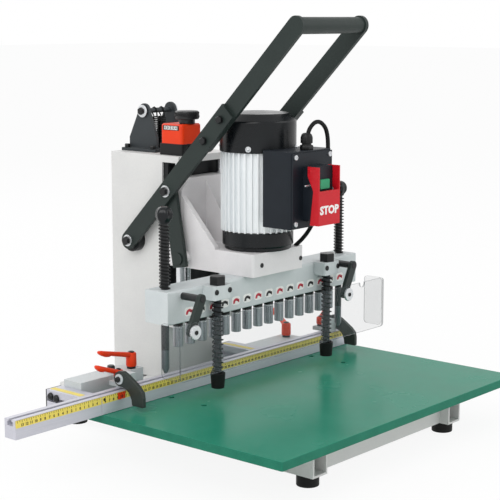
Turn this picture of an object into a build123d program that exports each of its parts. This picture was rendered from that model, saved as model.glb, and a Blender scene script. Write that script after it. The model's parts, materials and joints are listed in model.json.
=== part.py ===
from build123d import *
import math
import os

os.makedirs("parts", exist_ok=True)

# Frame: mm, +Z up, front of the machine towards -Y. The origin is on the floor, under the middle spindle.

# Fits shared by mating pieces
run_fit = 0.05
seat_gap = 0.3
coil_steps = 10
coil_seat = 0.35

# Base frame and feet (under the table)
foot_height = 20.0
foot_bolt_dia = 11.0
foot_x = 210.0
foot_y = 290.0
tube_wide = 40.0
tube_tall = 60.0
tube_wall = 4.0
tube_end_y = 317.0
front_tube_y = -277.0
rear_tube_near_y = 202.0
rear_tube_far_y = 292.0

# Table
table_left_x = -372.0
table_right_x = 348.0
table_front_y = -366.0
table_back_y = 150.0
table_thick = 16.0
table_corner = 3.0
table_screw_dia = 11.0
table_screw_depth = 6.0
table_screws = [(-210, -50), (210, -50), (-209, 32), (209, 32)]

# Column, top plate, way plate and guide bars
column_wide = 160.0
column_front_y = 176.0
column_back_y = 317.0
column_wall = 6.0
column_top_z = 513.0
top_plate_thick = 13.0
top_plate_front_y = 132.0
way_thick = 12.0
way_wide = 152.0
bar_dia = 20.0
bar_x = 60.0
bar_y = 148.0
bar_foot_bottom_z = 208.0
bar_foot_tall = 20.0
bar_foot_front_y = 136.0
slot_wide = 32.0
slot_bottom_z = 374.0
slot_top_z = 466.0
spring_window_wide = 52.0
spring_window_deep = 34.0
pivot_boss_dia = 34.0
pivot_boss_gap = 0.5
bar_top_cover = 5.0

# Spring bracket on the top plate
bracket_x = 37.0
bracket_thick = 6.0
bracket_y = 264.0
bracket_front_y = 229.0
bracket_back_y = 305.0
bracket_foot_wide = 104.0
bracket_foot_front_y = 222.0
bracket_foot_back_y = 316.0
bracket_foot_thick = 6.0
bracket_shoulder_z = 553.0
bracket_pin_z = 606.0
bracket_top_r = 15.0
bracket_pin_dia = 10.0
return_spring_od = 18.0
return_spring_wire = 2.6
return_spring_turns = 6
return_spring_x = 10.0

# Head casting
stroke = 60.0
platform_wide = 150.0
platform_front_y = -52.0
platform_bottom_z = 311.0
platform_tall = 44.0
back_plate_wide = 152.0
back_plate_front_y = 128.0
back_plate_top_z = 483.0
back_plate_chamfer = 22.0
gusset_thick = 12.0
gusset_top_z = 450.0
gusset_foot_y = 44.0
rib_thick = 12.0
rib_top_z = 478.0
rib_knee_z = 398.0
rib_front_y = 78.0
tongue_wide = 28.0
tongue_tall = 14.0
tongue_z = 438.0
tongue_end_y = 274.0
link_boss_dia = 26.0
link_boss_long = 12.7
slide_fit = 0.05

# Spindle box and spindles
box_end = 55.0
box_deep = 56.0
box_tall = 60.0
spindle_count = 15
spindle_pitch = 32.0
spindle_shaft_dia = 12.0
spindle_neck_long = 5.0
spindle_in_box = 36.0
chuck_dia = 17.0
chuck_sides = 12
shaft_sides = 12
chuck_long = 45.0
chuck_bore_dia = 10.0
chuck_bore_deep = 28.0

# Motor
motor_root_dia = 128.0
motor_fin_dia = 142.0
motor_fin_thick = 3.0
motor_fins = 36
motor_body_tall = 150.0
shield_dia = 136.0
shield_tall = 36.0
shield_step = 8.0
shield_step_dia = 128.0
fan_dia = 146.0
fan_tall = 72.0
fan_bevel = 14.0

# Switch box, switch, paddle and cables
switch_wide = 122.0
switch_front_y = -129.0
switch_back_y = -60.0
switch_lift = 16.0
switch_past_body = 8.0
cover_thick = 3.0
cover_inset = 3.0
switch_body_wide = 57.0
switch_body_deep = 24.0
switch_body_lift = 13.0
switch_body_drop = 27.0
paddle_below = 5.0
paddle_face_thick = 4.0
paddle_face_tall = 63.0
paddle_wall_thick = 3.0
paddle_gap = 11.0
paddle_pin_dia = 6.0
paddle_pin_in = 5.0
paddle_pin_drop = 8.0
horn_past_pin = 6.0
horn_below_pin = 9.0
wall_waist = 13.0
wall_foot = 20.0
button_wide = 28.0
button_tall = 18.0
button_out = 5.0
button_lift = 2.0
cable_dia = 8.0
cable_sides = 8
gland_foot_dia = 25.0
gland_foot_tall = 9.0
gland_waist_dia = 18.0
gland_waist_tall = 3.0
gland_nut_dia = 23.5
gland_nut_tall = 19.0
gland_x = 4.0
gland_y = -114.0
cable_end_x = 56.5
cable_end_y = -123.5
loop_rise = 29.0
loop_shoulder = 0.32
loop_crown = 21.0
lead_start_x = 36.0
lead_start_y = -104.0
lead_bend_x = 44.0
lead_bend_y = -86.0
lead_bend_below = 25.0
lead_end_x = 66.0
lead_end_y = -40.0
lead_spare = 14.0

# Lever and links
lever_y = 247.5
lever_z = 355.0
lever_angle = 45.45
lever_bar_wide = 35.0
lever_bar_thick = 8.0
lever_gap = 1.0
lever_bar_long = 374.0
link_joint_at = 148.6
extension_start = 268.0
handle_at = 590.0
handle_dia = 30.0
link_foot_y = 120.0
link_foot_z = 331.0
link_wide = 34.0
link_pin_dia = 12.0
link_play = 4.4
bolt_dia = 12.0
washer_dia = 23.0
washer_thick = 2.5

# Depth stop
indicator_x = -38.0
indicator_foot_long = 60.0
indicator_foot_deep = 62.0
indicator_foot_tall = 22.5
indicator_long = 57.0
indicator_deep = 57.0
indicator_tall = 38.0
indicator_corner = 7.0
indicator_foot_corner = 4.0
indicator_shift = 16.0
hub_dia = 31.0
hub_tall = 9.0
dial_dia = 46.0
dial_tall = 16.0
depth_screw_dia = 10.0
depth_screw_hole = 14.0
depth_screw_end_z = 232.0
stop_nut_dia = 20.0
stop_nut_gap = 1.0
stop_nut_tall = 13.0

# Index pins at the ends of the spindle box
index_inset = 22.0
index_rod_dia = 14.0
index_tip_dia = 6.0
index_tip_z = 157.0
index_tip_long = 9.0
index_knob_bottom_z = 430.0
index_knob_tall = 30.0
index_knob_dia = 32.0
index_knob_lobes = 6
index_knob_lobe_dia = 11.0
index_spring_od = 20.6
index_spring_wire = 2.0
index_spring_turns = 22

# Hold-downs on the front of the spindle box
hold_inset = 116.0
hold_y = -42.0
hold_block_wide = 48.0
hold_block_deep = 28.0
hold_block_tall = 26.0
hold_rod_dia = 14.0
hold_cap_dia = 27.0
hold_cap_tall = 18.0
hold_foot_dia = 28.0
hold_foot_low_dia = 24.0
hold_foot_tall = 28.0
hold_foot_bottom_z = 118.4
hold_spring_od = 21.0
hold_spring_wire = 2.0
hold_spring_turns = 22

# Guard on its two crank arms
guard_past_left = 24.0
guard_past_right = 25.0
guard_bottom_z = 161.0
guard_top_z = 263.0
guard_front_y = -82.0
guard_thick = 4.0
guard_corner = 8.0
guard_notch_in = 74.0
guard_notch_dia = 16.0
guard_notch_deep = 10.0
guard_pivot_left_in = 38.0
guard_pivot_right_in = 72.0
guard_pivot_z = 300.0
guard_arm_drop = 54.0
guard_arm_back = 27.0
guard_arm_wide = 18.0
guard_arm_thick = 8.0
guard_stud_dia = 12.0
guard_collar_dia = 20.0
guard_pin_dia = 8.0
guard_pin_play = 0.6
guard_disc_dia = 22.0
guard_disc_thick = 4.0

# Fence, rails, saddles and their clamps
fence_front_y = 42.0
fence_deep = 28.0
fence_tall = 34.0
fence_lift = 0.5
fence_left_x = -375.0
fence_right_x = 345.0
extension_left_x = -572.0
extension_gap = 1.0
tslot_mouth = 8.0
tslot_lip = 4.0
tslot_inside = 14.0
tslot_deep = 11.0
scale_recess = 1.0
scale_tall = 10.0
rail_wide = 36.0
rail_back_y = 153.0
rail_left_x = -406.0
rail_right_x = 57.0
rail_cap_thick = 3.0
saddle_left_past = 21.0
saddle_right_past = 22.0
saddle_front_y = 102.0
saddle_deep = 45.0
saddle_left_tall = 47.0
saddle_right_tall = 22.0
tongue_key_out = 6.0
tongue_key_long = 17.0
clamp_left_x = -233.0
clamp_right_x = 240.0
clamp_left_heading = 180.0
clamp_right_heading = 60.0
clamp_left_y = 112.5
clamp_right_y = 124.0
clamp_hub_dia = 20.0
clamp_hub_tall = 30.0
clamp_arm_long = 80.0
clamp_arm_rise = 18.0
clamp_arm_wide = 12.0
clamp_arm_thick = 9.0
clamp_stud_dia = 8.0
clamp_stud_deep = 14.0

# Flip stops on the fence
stop_x = 312.0
stop_thick = 8.0
stop_pivot_y = 54.0
stop_pivot_z = 149.0
stop_pivot_dia = 8.0
stop_washer_dia = 19.0
stop_base_wide = 24.0
stop_base_back_y = 90.0
stop_base_tall = 8.0
stop_lug_back_y = 66.0
stop_lug_tall = 26.0
stop_stud_deep = 8.0
stop_lever_y = 78.0
stop_hub_dia = 18.0
stop_hub_tall = 20.0
stop_arm_long = 54.0
stop_arm_rise = 19.0

# Derived positions
foot_dia = tube_wide
table_top_z = foot_height + tube_tall + table_thick
top_plate_z = column_top_z + top_plate_thick
box_top_z = platform_bottom_z
box_bottom_z = box_top_z - box_tall
platform_top_z = platform_bottom_z + platform_tall
back_plate_back_y = column_front_y - way_thick - 1.0
motor_body_z = platform_top_z + shield_tall
fan_z = motor_body_z + motor_body_tall
switch_bottom_z = motor_body_z + switch_lift
switch_top_z = fan_z + switch_past_body
switch_body_bottom_z = switch_bottom_z + switch_body_lift
switch_body_top_z = switch_top_z - switch_body_drop
paddle_bottom_z = switch_body_bottom_z - paddle_below
paddle_face_top_z = paddle_bottom_z + paddle_face_tall
box_long = (spindle_count - 1) * spindle_pitch + 2 * box_end
index_x = box_long / 2 - index_inset
hold_x = box_long / 2 - hold_inset
guard_left_x = -box_long / 2 - guard_past_left
guard_right_x = box_long / 2 + guard_past_right
guard_notch_x = guard_right_x - guard_notch_in
guard_pivot_left_x = -box_long / 2 + guard_pivot_left_in
guard_pivot_right_x = box_long / 2 - guard_pivot_right_in
link_inner_x = platform_wide / 2 + link_boss_long + seat_gap
link_outer_x = link_inner_x + lever_bar_thick
lever_inner_x = link_outer_x + lever_gap
pivot_boss_long = lever_inner_x - pivot_boss_gap - column_wide / 2
fence_bottom_z = table_top_z + fence_lift
fence_top_z = fence_bottom_z + fence_tall
fence_back_y = fence_front_y + fence_deep
hold_block_bottom_z = box_top_z - hold_block_tall
hold_foot_top_z = hold_foot_bottom_z + hold_foot_tall
guard_back_y = guard_front_y + guard_thick
guard_arm_front_y = guard_back_y + 1.0
guard_arm_back_y = guard_arm_front_y + guard_arm_thick
chuck_top_z = box_bottom_z - spindle_neck_long
dial_z = top_plate_z + indicator_foot_tall + indicator_tall + hub_tall


def save(piece, name):
    """Label one sub-part and write its STEP file.

    Args:
        piece: the finished builder.
        name: node name, also the file name.
    """
    piece.part.label = name
    export_step(piece.part, f"parts/{name}.step")


def block(x0, x1, y0, y1, z0, z1, mode=Mode.ADD):
    """Put a box between two corners into the open part."""
    with Locations(((x0 + x1) / 2, (y0 + y1) / 2, (z0 + z1) / 2)):
        Box(x1 - x0, y1 - y0, z1 - z0, mode=mode)


def post(x, y, z0, z1, dia, mode=Mode.ADD):
    """Put an upright cylinder from z0 to z1 into the open part."""
    with Locations((x, y, (z0 + z1) / 2)):
        Cylinder(dia / 2, z1 - z0, mode=mode)


def cross_pin(x0, x1, y, z, dia, mode=Mode.ADD):
    """Put a cylinder along X into the open part."""
    with Locations(((x0 + x1) / 2, y, z)):
        Cylinder(dia / 2, abs(x1 - x0), rotation=(0, 90, 0), mode=mode)


def front_pin(x, y0, y1, z, dia, mode=Mode.ADD):
    """Put a cylinder along Y into the open part."""
    with Locations((x, (y0 + y1) / 2, z)):
        Cylinder(dia / 2, y1 - y0, rotation=(90, 0, 0), mode=mode)


def side_plate(x0, x1, points, mode=Mode.ADD):
    """Extrude a (y, z) polygon from x0 to x1 into the open part."""
    with BuildSketch(Plane.YZ.offset(x0)) as outline:
        Polygon(*points, align=None)
    extrude(outline.sketch, amount=x1 - x0, mode=mode)


def along_lever(distance, across=0.0):
    """Point in (y, z) at a distance from the lever pivot along the bar, and across it."""
    turn = math.radians(lever_angle)
    y = lever_y - distance * math.cos(turn) + across * math.sin(turn)
    z = lever_z + distance * math.sin(turn) + across * math.cos(turn)
    return (y, z)


def bar_between(x0, x1, first, last, wide, mode=Mode.ADD):
    """Extrude a round-ended bar between two (y, z) points from x0 to x1."""
    run = math.hypot(last[0] - first[0], last[1] - first[1])
    tilt = math.degrees(math.atan2(last[1] - first[1], last[0] - first[0]))
    with BuildSketch(Plane.YZ.offset(x0)) as outline:
        with Locations(((first[0] + last[0]) / 2, (first[1] + last[1]) / 2)):
            SlotCenterToCenter(run, wide, rotation=tilt)
    extrude(outline.sketch, amount=x1 - x0, mode=mode)


def coil(name, x, y, z0, z1, outside, wire, turns):
    """Sweep one coil spring of square wire into the open part and print its least gap and volume ratio.

    Args:
        name: label used in the printed line.
        x, y: axis of the coil.
        z0, z1: heights between which the coil fits.
        outside: outside diameter.
        wire: width of the wire.
        turns: number of full turns.
    """
    low = z0 + wire / 2 + coil_seat
    high = z1 - wire / 2 - coil_seat
    radius = (outside - wire) / 2
    steps = turns * coil_steps
    points = []
    for i in range(steps + 1):
        angle = 2 * math.pi * i / coil_steps
        climb = low + (high - low) * i / steps
        points.append((x + radius * math.cos(angle), y + radius * math.sin(angle), climb))
    with BuildLine() as helix:
        Polyline(*points)
    path = helix.wire()
    with BuildSketch(Plane(path @ 0, x_dir=(1, 0, 0), z_dir=path % 0)) as section:
        Rectangle(wire, wire)
    wound = sweep(section.sketch, path=path, transition=Transition.RIGHT, mode=Mode.PRIVATE)
    spots = [Vector(point) for point in points]
    least = min((spots[i] - spots[i - coil_steps]).length for i in range(coil_steps, steps + 1))
    ratio = wound.volume / (wire * wire * path.length)
    print(f"{name}: least gap {least - 1.1 * wire:.2f} mm, volume ratio {ratio:.4f}")
    add(wound)


# Base: two long tubes, a front and two rear cross tubes
foot_spots = [(-foot_x, -foot_y), (foot_x, -foot_y), (-foot_x, foot_y), (foot_x, foot_y)]
with BuildPart() as base_frame:
    frame_top = foot_height + tube_tall
    for side in (-1, 1):
        block(
            side * foot_x - tube_wide / 2, side * foot_x + tube_wide / 2,
            -tube_end_y, tube_end_y, foot_height, frame_top,
        )
    for tube_y in (front_tube_y, rear_tube_near_y, rear_tube_far_y):
        block(-foot_x, foot_x, tube_y - tube_wide / 2, tube_y + tube_wide / 2, foot_height, frame_top)
    for side in (-1, 1):
        block(
            side * foot_x - tube_wide / 2 + tube_wall, side * foot_x + tube_wide / 2 - tube_wall,
            -tube_end_y, tube_end_y, foot_height + tube_wall, frame_top - tube_wall, Mode.SUBTRACT,
        )
    for x, y in foot_spots:
        post(x, y, foot_height, foot_height + tube_wall, foot_bolt_dia, Mode.SUBTRACT)
save(base_frame, "base_frame")

with BuildPart() as rubber_feet:
    for x, y in foot_spots:
        post(x, y, 0, foot_height, foot_dia)
        post(x, y, 0, foot_height, foot_bolt_dia, Mode.SUBTRACT)
save(rubber_feet, "rubber_feet")

with BuildPart() as table:
    block(table_left_x, table_right_x, table_front_y, table_back_y, table_top_z - table_thick, table_top_z)
    fillet(table.edges().filter_by(Axis.Z), table_corner)
    for x, y in table_screws:
        post(x, y, table_top_z - table_screw_depth, table_top_z, table_screw_dia, Mode.SUBTRACT)
save(table, "table")

# Column weldment: square box section, top plate, foot bracket of the guide bars and lever bosses
with BuildPart() as column:
    half = column_wide / 2
    block(-half, half, column_front_y, column_back_y, frame_top, column_top_z)
    block(
        -half + column_wall, half - column_wall, column_front_y + column_wall, column_back_y - column_wall,
        frame_top, column_top_z, Mode.SUBTRACT,
    )
    block(-half, half, top_plate_front_y, column_back_y, column_top_z, top_plate_z)
    block(-half, half, bar_foot_front_y, column_front_y, bar_foot_bottom_z - bar_foot_tall, bar_foot_bottom_z)
    for side in (-1, 1):
        cross_pin(side * half, side * (half + pivot_boss_long), lever_y, lever_z, pivot_boss_dia)
        cross_pin(
            side * (half - column_wall), side * (half + pivot_boss_long), lever_y, lever_z,
            bolt_dia + 2 * run_fit, Mode.SUBTRACT,
        )
        bore_low_z = bar_foot_bottom_z - bar_foot_tall
        post(side * bar_x, bar_y, bore_low_z, top_plate_z - bar_top_cover, bar_dia, Mode.SUBTRACT)
    block(
        -slot_wide / 2, slot_wide / 2, column_front_y, column_front_y + column_wall,
        slot_bottom_z, slot_top_z, Mode.SUBTRACT,
    )
    block(
        -spring_window_wide / 2, spring_window_wide / 2, bracket_y - spring_window_deep / 2,
        bracket_y + spring_window_deep / 2, column_top_z, top_plate_z, Mode.SUBTRACT,
    )
    post(indicator_x, bar_y, column_top_z, top_plate_z, depth_screw_hole, Mode.SUBTRACT)
save(column, "column")

with BuildPart() as way_plate:
    block(
        -way_wide / 2, way_wide / 2, column_front_y - way_thick, column_front_y,
        bar_foot_bottom_z, column_top_z,
    )
    block(
        -slot_wide / 2, slot_wide / 2, column_front_y - way_thick, column_front_y,
        slot_bottom_z, slot_top_z, Mode.SUBTRACT,
    )
save(way_plate, "way_plate")

with BuildPart() as guide_bars:
    for side in (-1, 1):
        post(side * bar_x, bar_y, bar_foot_bottom_z - bar_foot_tall, top_plate_z - bar_top_cover, bar_dia)
save(guide_bars, "guide_bars")

# Spring bracket: foot with a window, two tapered cheeks with round tops, pin between them
with BuildPart() as spring_bracket:
    block(
        -bracket_foot_wide / 2, bracket_foot_wide / 2, bracket_foot_front_y, bracket_foot_back_y,
        top_plate_z, top_plate_z + bracket_foot_thick,
    )
    block(
        -spring_window_wide / 2, spring_window_wide / 2, bracket_y - spring_window_deep / 2,
        bracket_y + spring_window_deep / 2, top_plate_z, top_plate_z + bracket_foot_thick, Mode.SUBTRACT,
    )
    for side in (-1, 1):
        cheek_x = side * bracket_x - bracket_thick / 2
        side_plate(cheek_x, cheek_x + bracket_thick, [
            (bracket_front_y, top_plate_z + bracket_foot_thick),
            (bracket_back_y, top_plate_z + bracket_foot_thick),
            (bracket_back_y, bracket_shoulder_z),
            (bracket_y + bracket_top_r, bracket_pin_z),
            (bracket_y - bracket_top_r, bracket_pin_z),
            (bracket_front_y, bracket_shoulder_z),
        ])
        cross_pin(cheek_x, cheek_x + bracket_thick, bracket_y, bracket_pin_z, bracket_top_r * 2)
    cross_pin(-bracket_x - 6, bracket_x + 6, bracket_y, bracket_pin_z, bracket_pin_dia)
save(spring_bracket, "spring_bracket")

# Depth stop: foot, indicator case, then the knob with its screw and stop nut
indicator_y = bar_y
with BuildPart() as position_indicator:
    case_z = top_plate_z + indicator_foot_tall
    case_y = indicator_y + indicator_shift
    with BuildSketch(Plane.XY.offset(top_plate_z)):
        with Locations((indicator_x, case_y)):
            RectangleRounded(indicator_foot_long, indicator_foot_deep, indicator_foot_corner)
    extrude(amount=indicator_foot_tall)
    with BuildSketch(Plane.XY.offset(case_z)):
        with Locations((indicator_x, case_y)):
            RectangleRounded(indicator_long, indicator_deep, indicator_corner)
    extrude(amount=indicator_tall)
    chamfer(position_indicator.faces().sort_by(Axis.Z)[-1].edges(), 3)
    post(indicator_x, indicator_y, top_plate_z, case_z + indicator_tall, depth_screw_hole, Mode.SUBTRACT)
save(position_indicator, "position_indicator")

with BuildPart() as depth_screw:
    hub_z = top_plate_z + indicator_foot_tall + indicator_tall + seat_gap
    post(indicator_x, indicator_y, depth_screw_end_z, hub_z, depth_screw_dia)
    post(indicator_x, indicator_y, hub_z, dial_z, hub_dia)
    post(indicator_x, indicator_y, dial_z, dial_z + dial_tall, dial_dia)
    chamfer(depth_screw.edges().group_by(Axis.Z)[-1], 2)
save(depth_screw, "depth_screw")

with BuildPart() as stop_nut:
    nut_z = box_top_z - stroke - stop_nut_gap - stop_nut_tall
    with BuildSketch(Plane.XY.offset(nut_z)):
        with Locations((indicator_x, indicator_y)):
            RegularPolygon(stop_nut_dia / 2, 6)
            Circle(depth_screw_dia / 2 + run_fit, mode=Mode.SUBTRACT)
    extrude(amount=stop_nut_tall)
save(stop_nut, "stop_nut")

# Head casting: platform, back plate bored for the bars, side gussets, middle rib, rear spring tongue
with BuildPart() as head_casting:
    block(
        -platform_wide / 2, platform_wide / 2, platform_front_y, back_plate_front_y,
        platform_bottom_z, platform_top_z,
    )
    fillet(head_casting.edges().filter_by(Axis.Z).group_by(Axis.Y)[0], 6)
    with BuildSketch(Plane.XZ.offset(-back_plate_back_y)) as plate_face:
        with Locations((0, (platform_bottom_z + back_plate_top_z) / 2)):
            Rectangle(back_plate_wide, back_plate_top_z - platform_bottom_z)
        chamfer(plate_face.vertices().group_by(Axis.Y)[-1], back_plate_chamfer)
    extrude(amount=back_plate_back_y - back_plate_front_y)
    for side in (-1, 1):
        inner = side * (platform_wide / 2 - gusset_thick)
        outer = side * platform_wide / 2
        side_plate(min(inner, outer), max(inner, outer), [
            (back_plate_front_y, platform_top_z),
            (back_plate_front_y, gusset_top_z),
            (gusset_foot_y, platform_top_z + 4),
            (gusset_foot_y, platform_top_z),
        ])
        cross_pin(outer, side * (platform_wide / 2 + link_boss_long), link_foot_y, link_foot_z, link_boss_dia)
    side_plate(-rib_thick / 2, rib_thick / 2, [
        (back_plate_front_y, platform_top_z),
        (back_plate_front_y, rib_top_z),
        (rib_front_y, rib_knee_z),
        (rib_front_y, platform_top_z),
    ])
    block(
        -tongue_wide / 2, tongue_wide / 2, back_plate_back_y, tongue_end_y,
        tongue_z, tongue_z + tongue_tall,
    )
    for side in (-1, 1):
        post(side * bar_x, bar_y, platform_bottom_z, back_plate_top_z, bar_dia + 2 * slide_fit, Mode.SUBTRACT)
    post(indicator_x, indicator_y, platform_bottom_z, back_plate_top_z, depth_screw_hole, Mode.SUBTRACT)
save(head_casting, "head_casting")

# Spindle box with bores for the spindles and the index pins, and the guard's two studs
spindle_x = [(i - (spindle_count - 1) / 2) * spindle_pitch for i in range(spindle_count)]
with BuildPart() as spindle_box:
    block(-box_long / 2, box_long / 2, -box_deep / 2, box_deep / 2, box_bottom_z, box_top_z)
    chamfer(spindle_box.edges().filter_by(Axis.X), 1.5)
    for x in spindle_x:
        with BuildSketch(Plane.XY.offset(box_bottom_z)) as seat:
            with Locations((x, 0)):
                RegularPolygon(spindle_shaft_dia / 2 + run_fit, shaft_sides, major_radius=False)
        extrude(seat.sketch, amount=spindle_in_box + seat_gap, mode=Mode.SUBTRACT)
    for side in (-1, 1):
        post(side * index_x, 0, box_bottom_z, box_top_z, index_rod_dia + 2 * run_fit, Mode.SUBTRACT)
    for x in (guard_pivot_left_x, guard_pivot_right_x):
        front_pin(x, guard_arm_front_y, -box_deep / 2, guard_pivot_z, guard_stud_dia)
        front_pin(x, guard_arm_back_y + seat_gap, -box_deep / 2, guard_pivot_z, guard_collar_dia)
save(spindle_box, "spindle_box")

for number, x in enumerate(spindle_x, 1):
    with BuildPart() as spindle:
        with BuildSketch(Plane.XY.offset(chuck_top_z)):
            with Locations((x, 0)):
                RegularPolygon(spindle_shaft_dia / 2, shaft_sides)
        extrude(amount=spindle_neck_long + spindle_in_box)
        with BuildSketch(Plane.XY.offset(chuck_top_z - chuck_long)):
            with Locations((x, 0)):
                RegularPolygon(chuck_dia / 2, chuck_sides)
        extrude(amount=chuck_long)
        chuck_foot_z = chuck_top_z - chuck_long
        post(x, 0, chuck_foot_z, chuck_foot_z + chuck_bore_deep, chuck_bore_dia, Mode.SUBTRACT)
    save(spindle, f"spindle_{number:02d}")

# Motor: stepped end shield, finned body, fan cover with a bevelled top
with BuildPart() as motor_covers:
    post(0, 0, fan_z, fan_z + fan_tall, fan_dia)
    chamfer(motor_covers.edges().group_by(Axis.Z)[-1], fan_bevel)
    post(0, 0, platform_top_z, platform_top_z + shield_step, shield_step_dia)
    post(0, 0, platform_top_z + shield_step, motor_body_z, shield_dia)
save(motor_covers, "motor_covers")

with BuildPart() as motor_body:
    with BuildSketch(Plane.XY.offset(motor_body_z)):
        Circle(motor_root_dia / 2)
        with PolarLocations((motor_root_dia + motor_fin_dia) / 4 - 1, motor_fins):
            Rectangle((motor_fin_dia - motor_root_dia) / 2 + 2, motor_fin_thick)
    extrude(amount=motor_body_tall)
save(motor_body, "motor_body")

# Switch box against the motor, its cover plate with the switch body, start button and stop paddle
with BuildPart() as switch_box:
    block(-switch_wide / 2, switch_wide / 2, switch_front_y, switch_back_y, switch_bottom_z, switch_top_z)
    fillet(switch_box.edges().filter_by(Axis.Z), 6)
    post(0, 0, switch_bottom_z, fan_z, motor_fin_dia + 2 * seat_gap, Mode.SUBTRACT)
    post(0, 0, fan_z, switch_top_z, fan_dia + 2 * seat_gap, Mode.SUBTRACT)
save(switch_box, "switch_box")

switch_face_y = switch_front_y - cover_thick
switch_nose_y = switch_face_y - switch_body_deep
paddle_back_y = switch_nose_y - paddle_gap
paddle_face_y = paddle_back_y - paddle_face_thick
paddle_pin_y = switch_nose_y + paddle_pin_in
paddle_pin_z = switch_body_top_z - paddle_pin_drop
paddle_inner_x = switch_body_wide / 2 + seat_gap
paddle_outer_x = paddle_inner_x + paddle_wall_thick
button_z = paddle_face_top_z + button_lift + button_tall / 2
with BuildPart() as switch_cover:
    half = switch_wide / 2 - cover_inset
    block(
        -half, half, switch_face_y, switch_front_y,
        switch_bottom_z + cover_inset, switch_top_z - cover_inset,
    )
    block(
        -switch_body_wide / 2, switch_body_wide / 2, switch_nose_y, switch_face_y,
        switch_body_bottom_z, switch_body_top_z,
    )
    fillet(switch_cover.edges().filter_by(Axis.Y).filter_by(lambda e: e.center().Y < switch_face_y), 5)
    block(
        -button_wide / 2 - run_fit, button_wide / 2 + run_fit, switch_nose_y, switch_nose_y + 10,
        button_z - button_tall / 2 - run_fit, button_z + button_tall / 2 + run_fit, Mode.SUBTRACT,
    )
    cross_pin(-paddle_outer_x, paddle_outer_x, paddle_pin_y, paddle_pin_z, paddle_pin_dia)
save(switch_cover, "switch_cover")

with BuildPart() as start_button:
    block(
        -button_wide / 2, button_wide / 2, switch_nose_y - button_out, switch_nose_y + 6,
        button_z - button_tall / 2, button_z + button_tall / 2,
    )
    fillet(start_button.edges().group_by(Axis.Y)[0], 1)
save(start_button, "start_button")

with BuildPart() as stop_paddle:
    horn_back_y = paddle_pin_y + horn_past_pin
    horn_low_z = paddle_pin_z - horn_below_pin
    for side in (-1, 1):
        near = min(side * paddle_inner_x, side * paddle_outer_x)
        far = max(side * paddle_inner_x, side * paddle_outer_x)
        side_plate(near, far, [
            (paddle_face_y, paddle_bottom_z),
            (paddle_face_y, switch_body_top_z),
            (horn_back_y, switch_body_top_z),
            (horn_back_y, horn_low_z),
            (paddle_face_y + wall_waist, paddle_face_top_z),
            (paddle_face_y + wall_foot, paddle_bottom_z),
        ])
        cross_pin(near, far, paddle_pin_y, paddle_pin_z, paddle_pin_dia + 2 * run_fit, Mode.SUBTRACT)
    block(
        -paddle_outer_x, paddle_outer_x, paddle_face_y, paddle_back_y,
        paddle_bottom_z, paddle_face_top_z,
    )
save(stop_paddle, "stop_paddle")


def cord(points):
    """Sweep a cord through points, with the largest tangent arcs that its runs allow, into the open part."""
    radii = []
    for before, here, after in zip(points, points[1:], points[2:]):
        come = Vector(here) - Vector(before)
        leave = Vector(after) - Vector(here)
        turn = math.radians(come.get_angle(leave))
        radii.append(0.45 * min(come.length, leave.length) / math.tan(turn / 2))
    with BuildLine() as route:
        FilletPolyline(*points, radius=radii)
    path = route.wire()
    with BuildSketch(Plane(path @ 0, z_dir=path % 0)) as ring:
        RegularPolygon(cable_dia / 2, cable_sides)
    swept = sweep(ring.sketch, path=path, mode=Mode.PRIVATE)
    bends = ", ".join(f"{radius:.1f}" for radius in radii)
    print(f"cord: bend radii {bends} mm, volume ratio {swept.volume / (ring.sketch.area * path.length):.4f}")
    add(swept)


# Cable loop on top of the switch box with its gland, and the lead from the box to the platform
with BuildPart() as cables:
    lead_start = Vector(lead_start_x, lead_start_y, switch_bottom_z)
    lead_bend = Vector(lead_bend_x, lead_bend_y, switch_bottom_z - lead_bend_below)
    lead_end = Vector(lead_end_x, lead_end_y, platform_top_z)
    cord([
        lead_start + (lead_start - lead_bend).normalized() * lead_spare,
        lead_bend,
        lead_end + (lead_end - lead_bend).normalized() * lead_spare,
    ])
    for middle, low_z, high_z in (
        (lead_start, switch_bottom_z, switch_bottom_z + 2 * lead_spare),
        (lead_end, platform_top_z - 2 * lead_spare, platform_top_z),
    ):
        block(
            middle.X - 2 * lead_spare, middle.X + 2 * lead_spare,
            middle.Y - 2 * lead_spare, middle.Y + 2 * lead_spare, low_z, high_z, Mode.SUBTRACT,
        )
    loop_turn_z = switch_top_z + loop_rise
    loop_across = Vector(cable_end_x - gland_x, cable_end_y - gland_y, 0)
    loop_turn = Vector(gland_x, gland_y, loop_turn_z)
    loop_crown_up = Vector(0, 0, loop_crown)
    cord([
        Vector(gland_x, gland_y, switch_top_z),
        loop_turn,
        loop_turn + loop_across * loop_shoulder + loop_crown_up,
        loop_turn + loop_across * (1 - loop_shoulder) + loop_crown_up,
        loop_turn + loop_across,
        Vector(cable_end_x, cable_end_y, switch_top_z),
    ])
    gland_z = switch_top_z
    for dia, tall in (
        (gland_foot_dia, gland_foot_tall),
        (gland_waist_dia, gland_waist_tall),
        (gland_nut_dia, gland_nut_tall),
    ):
        post(gland_x, gland_y, gland_z, gland_z + tall, dia)
        gland_z += tall
save(cables, "cables")

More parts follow.
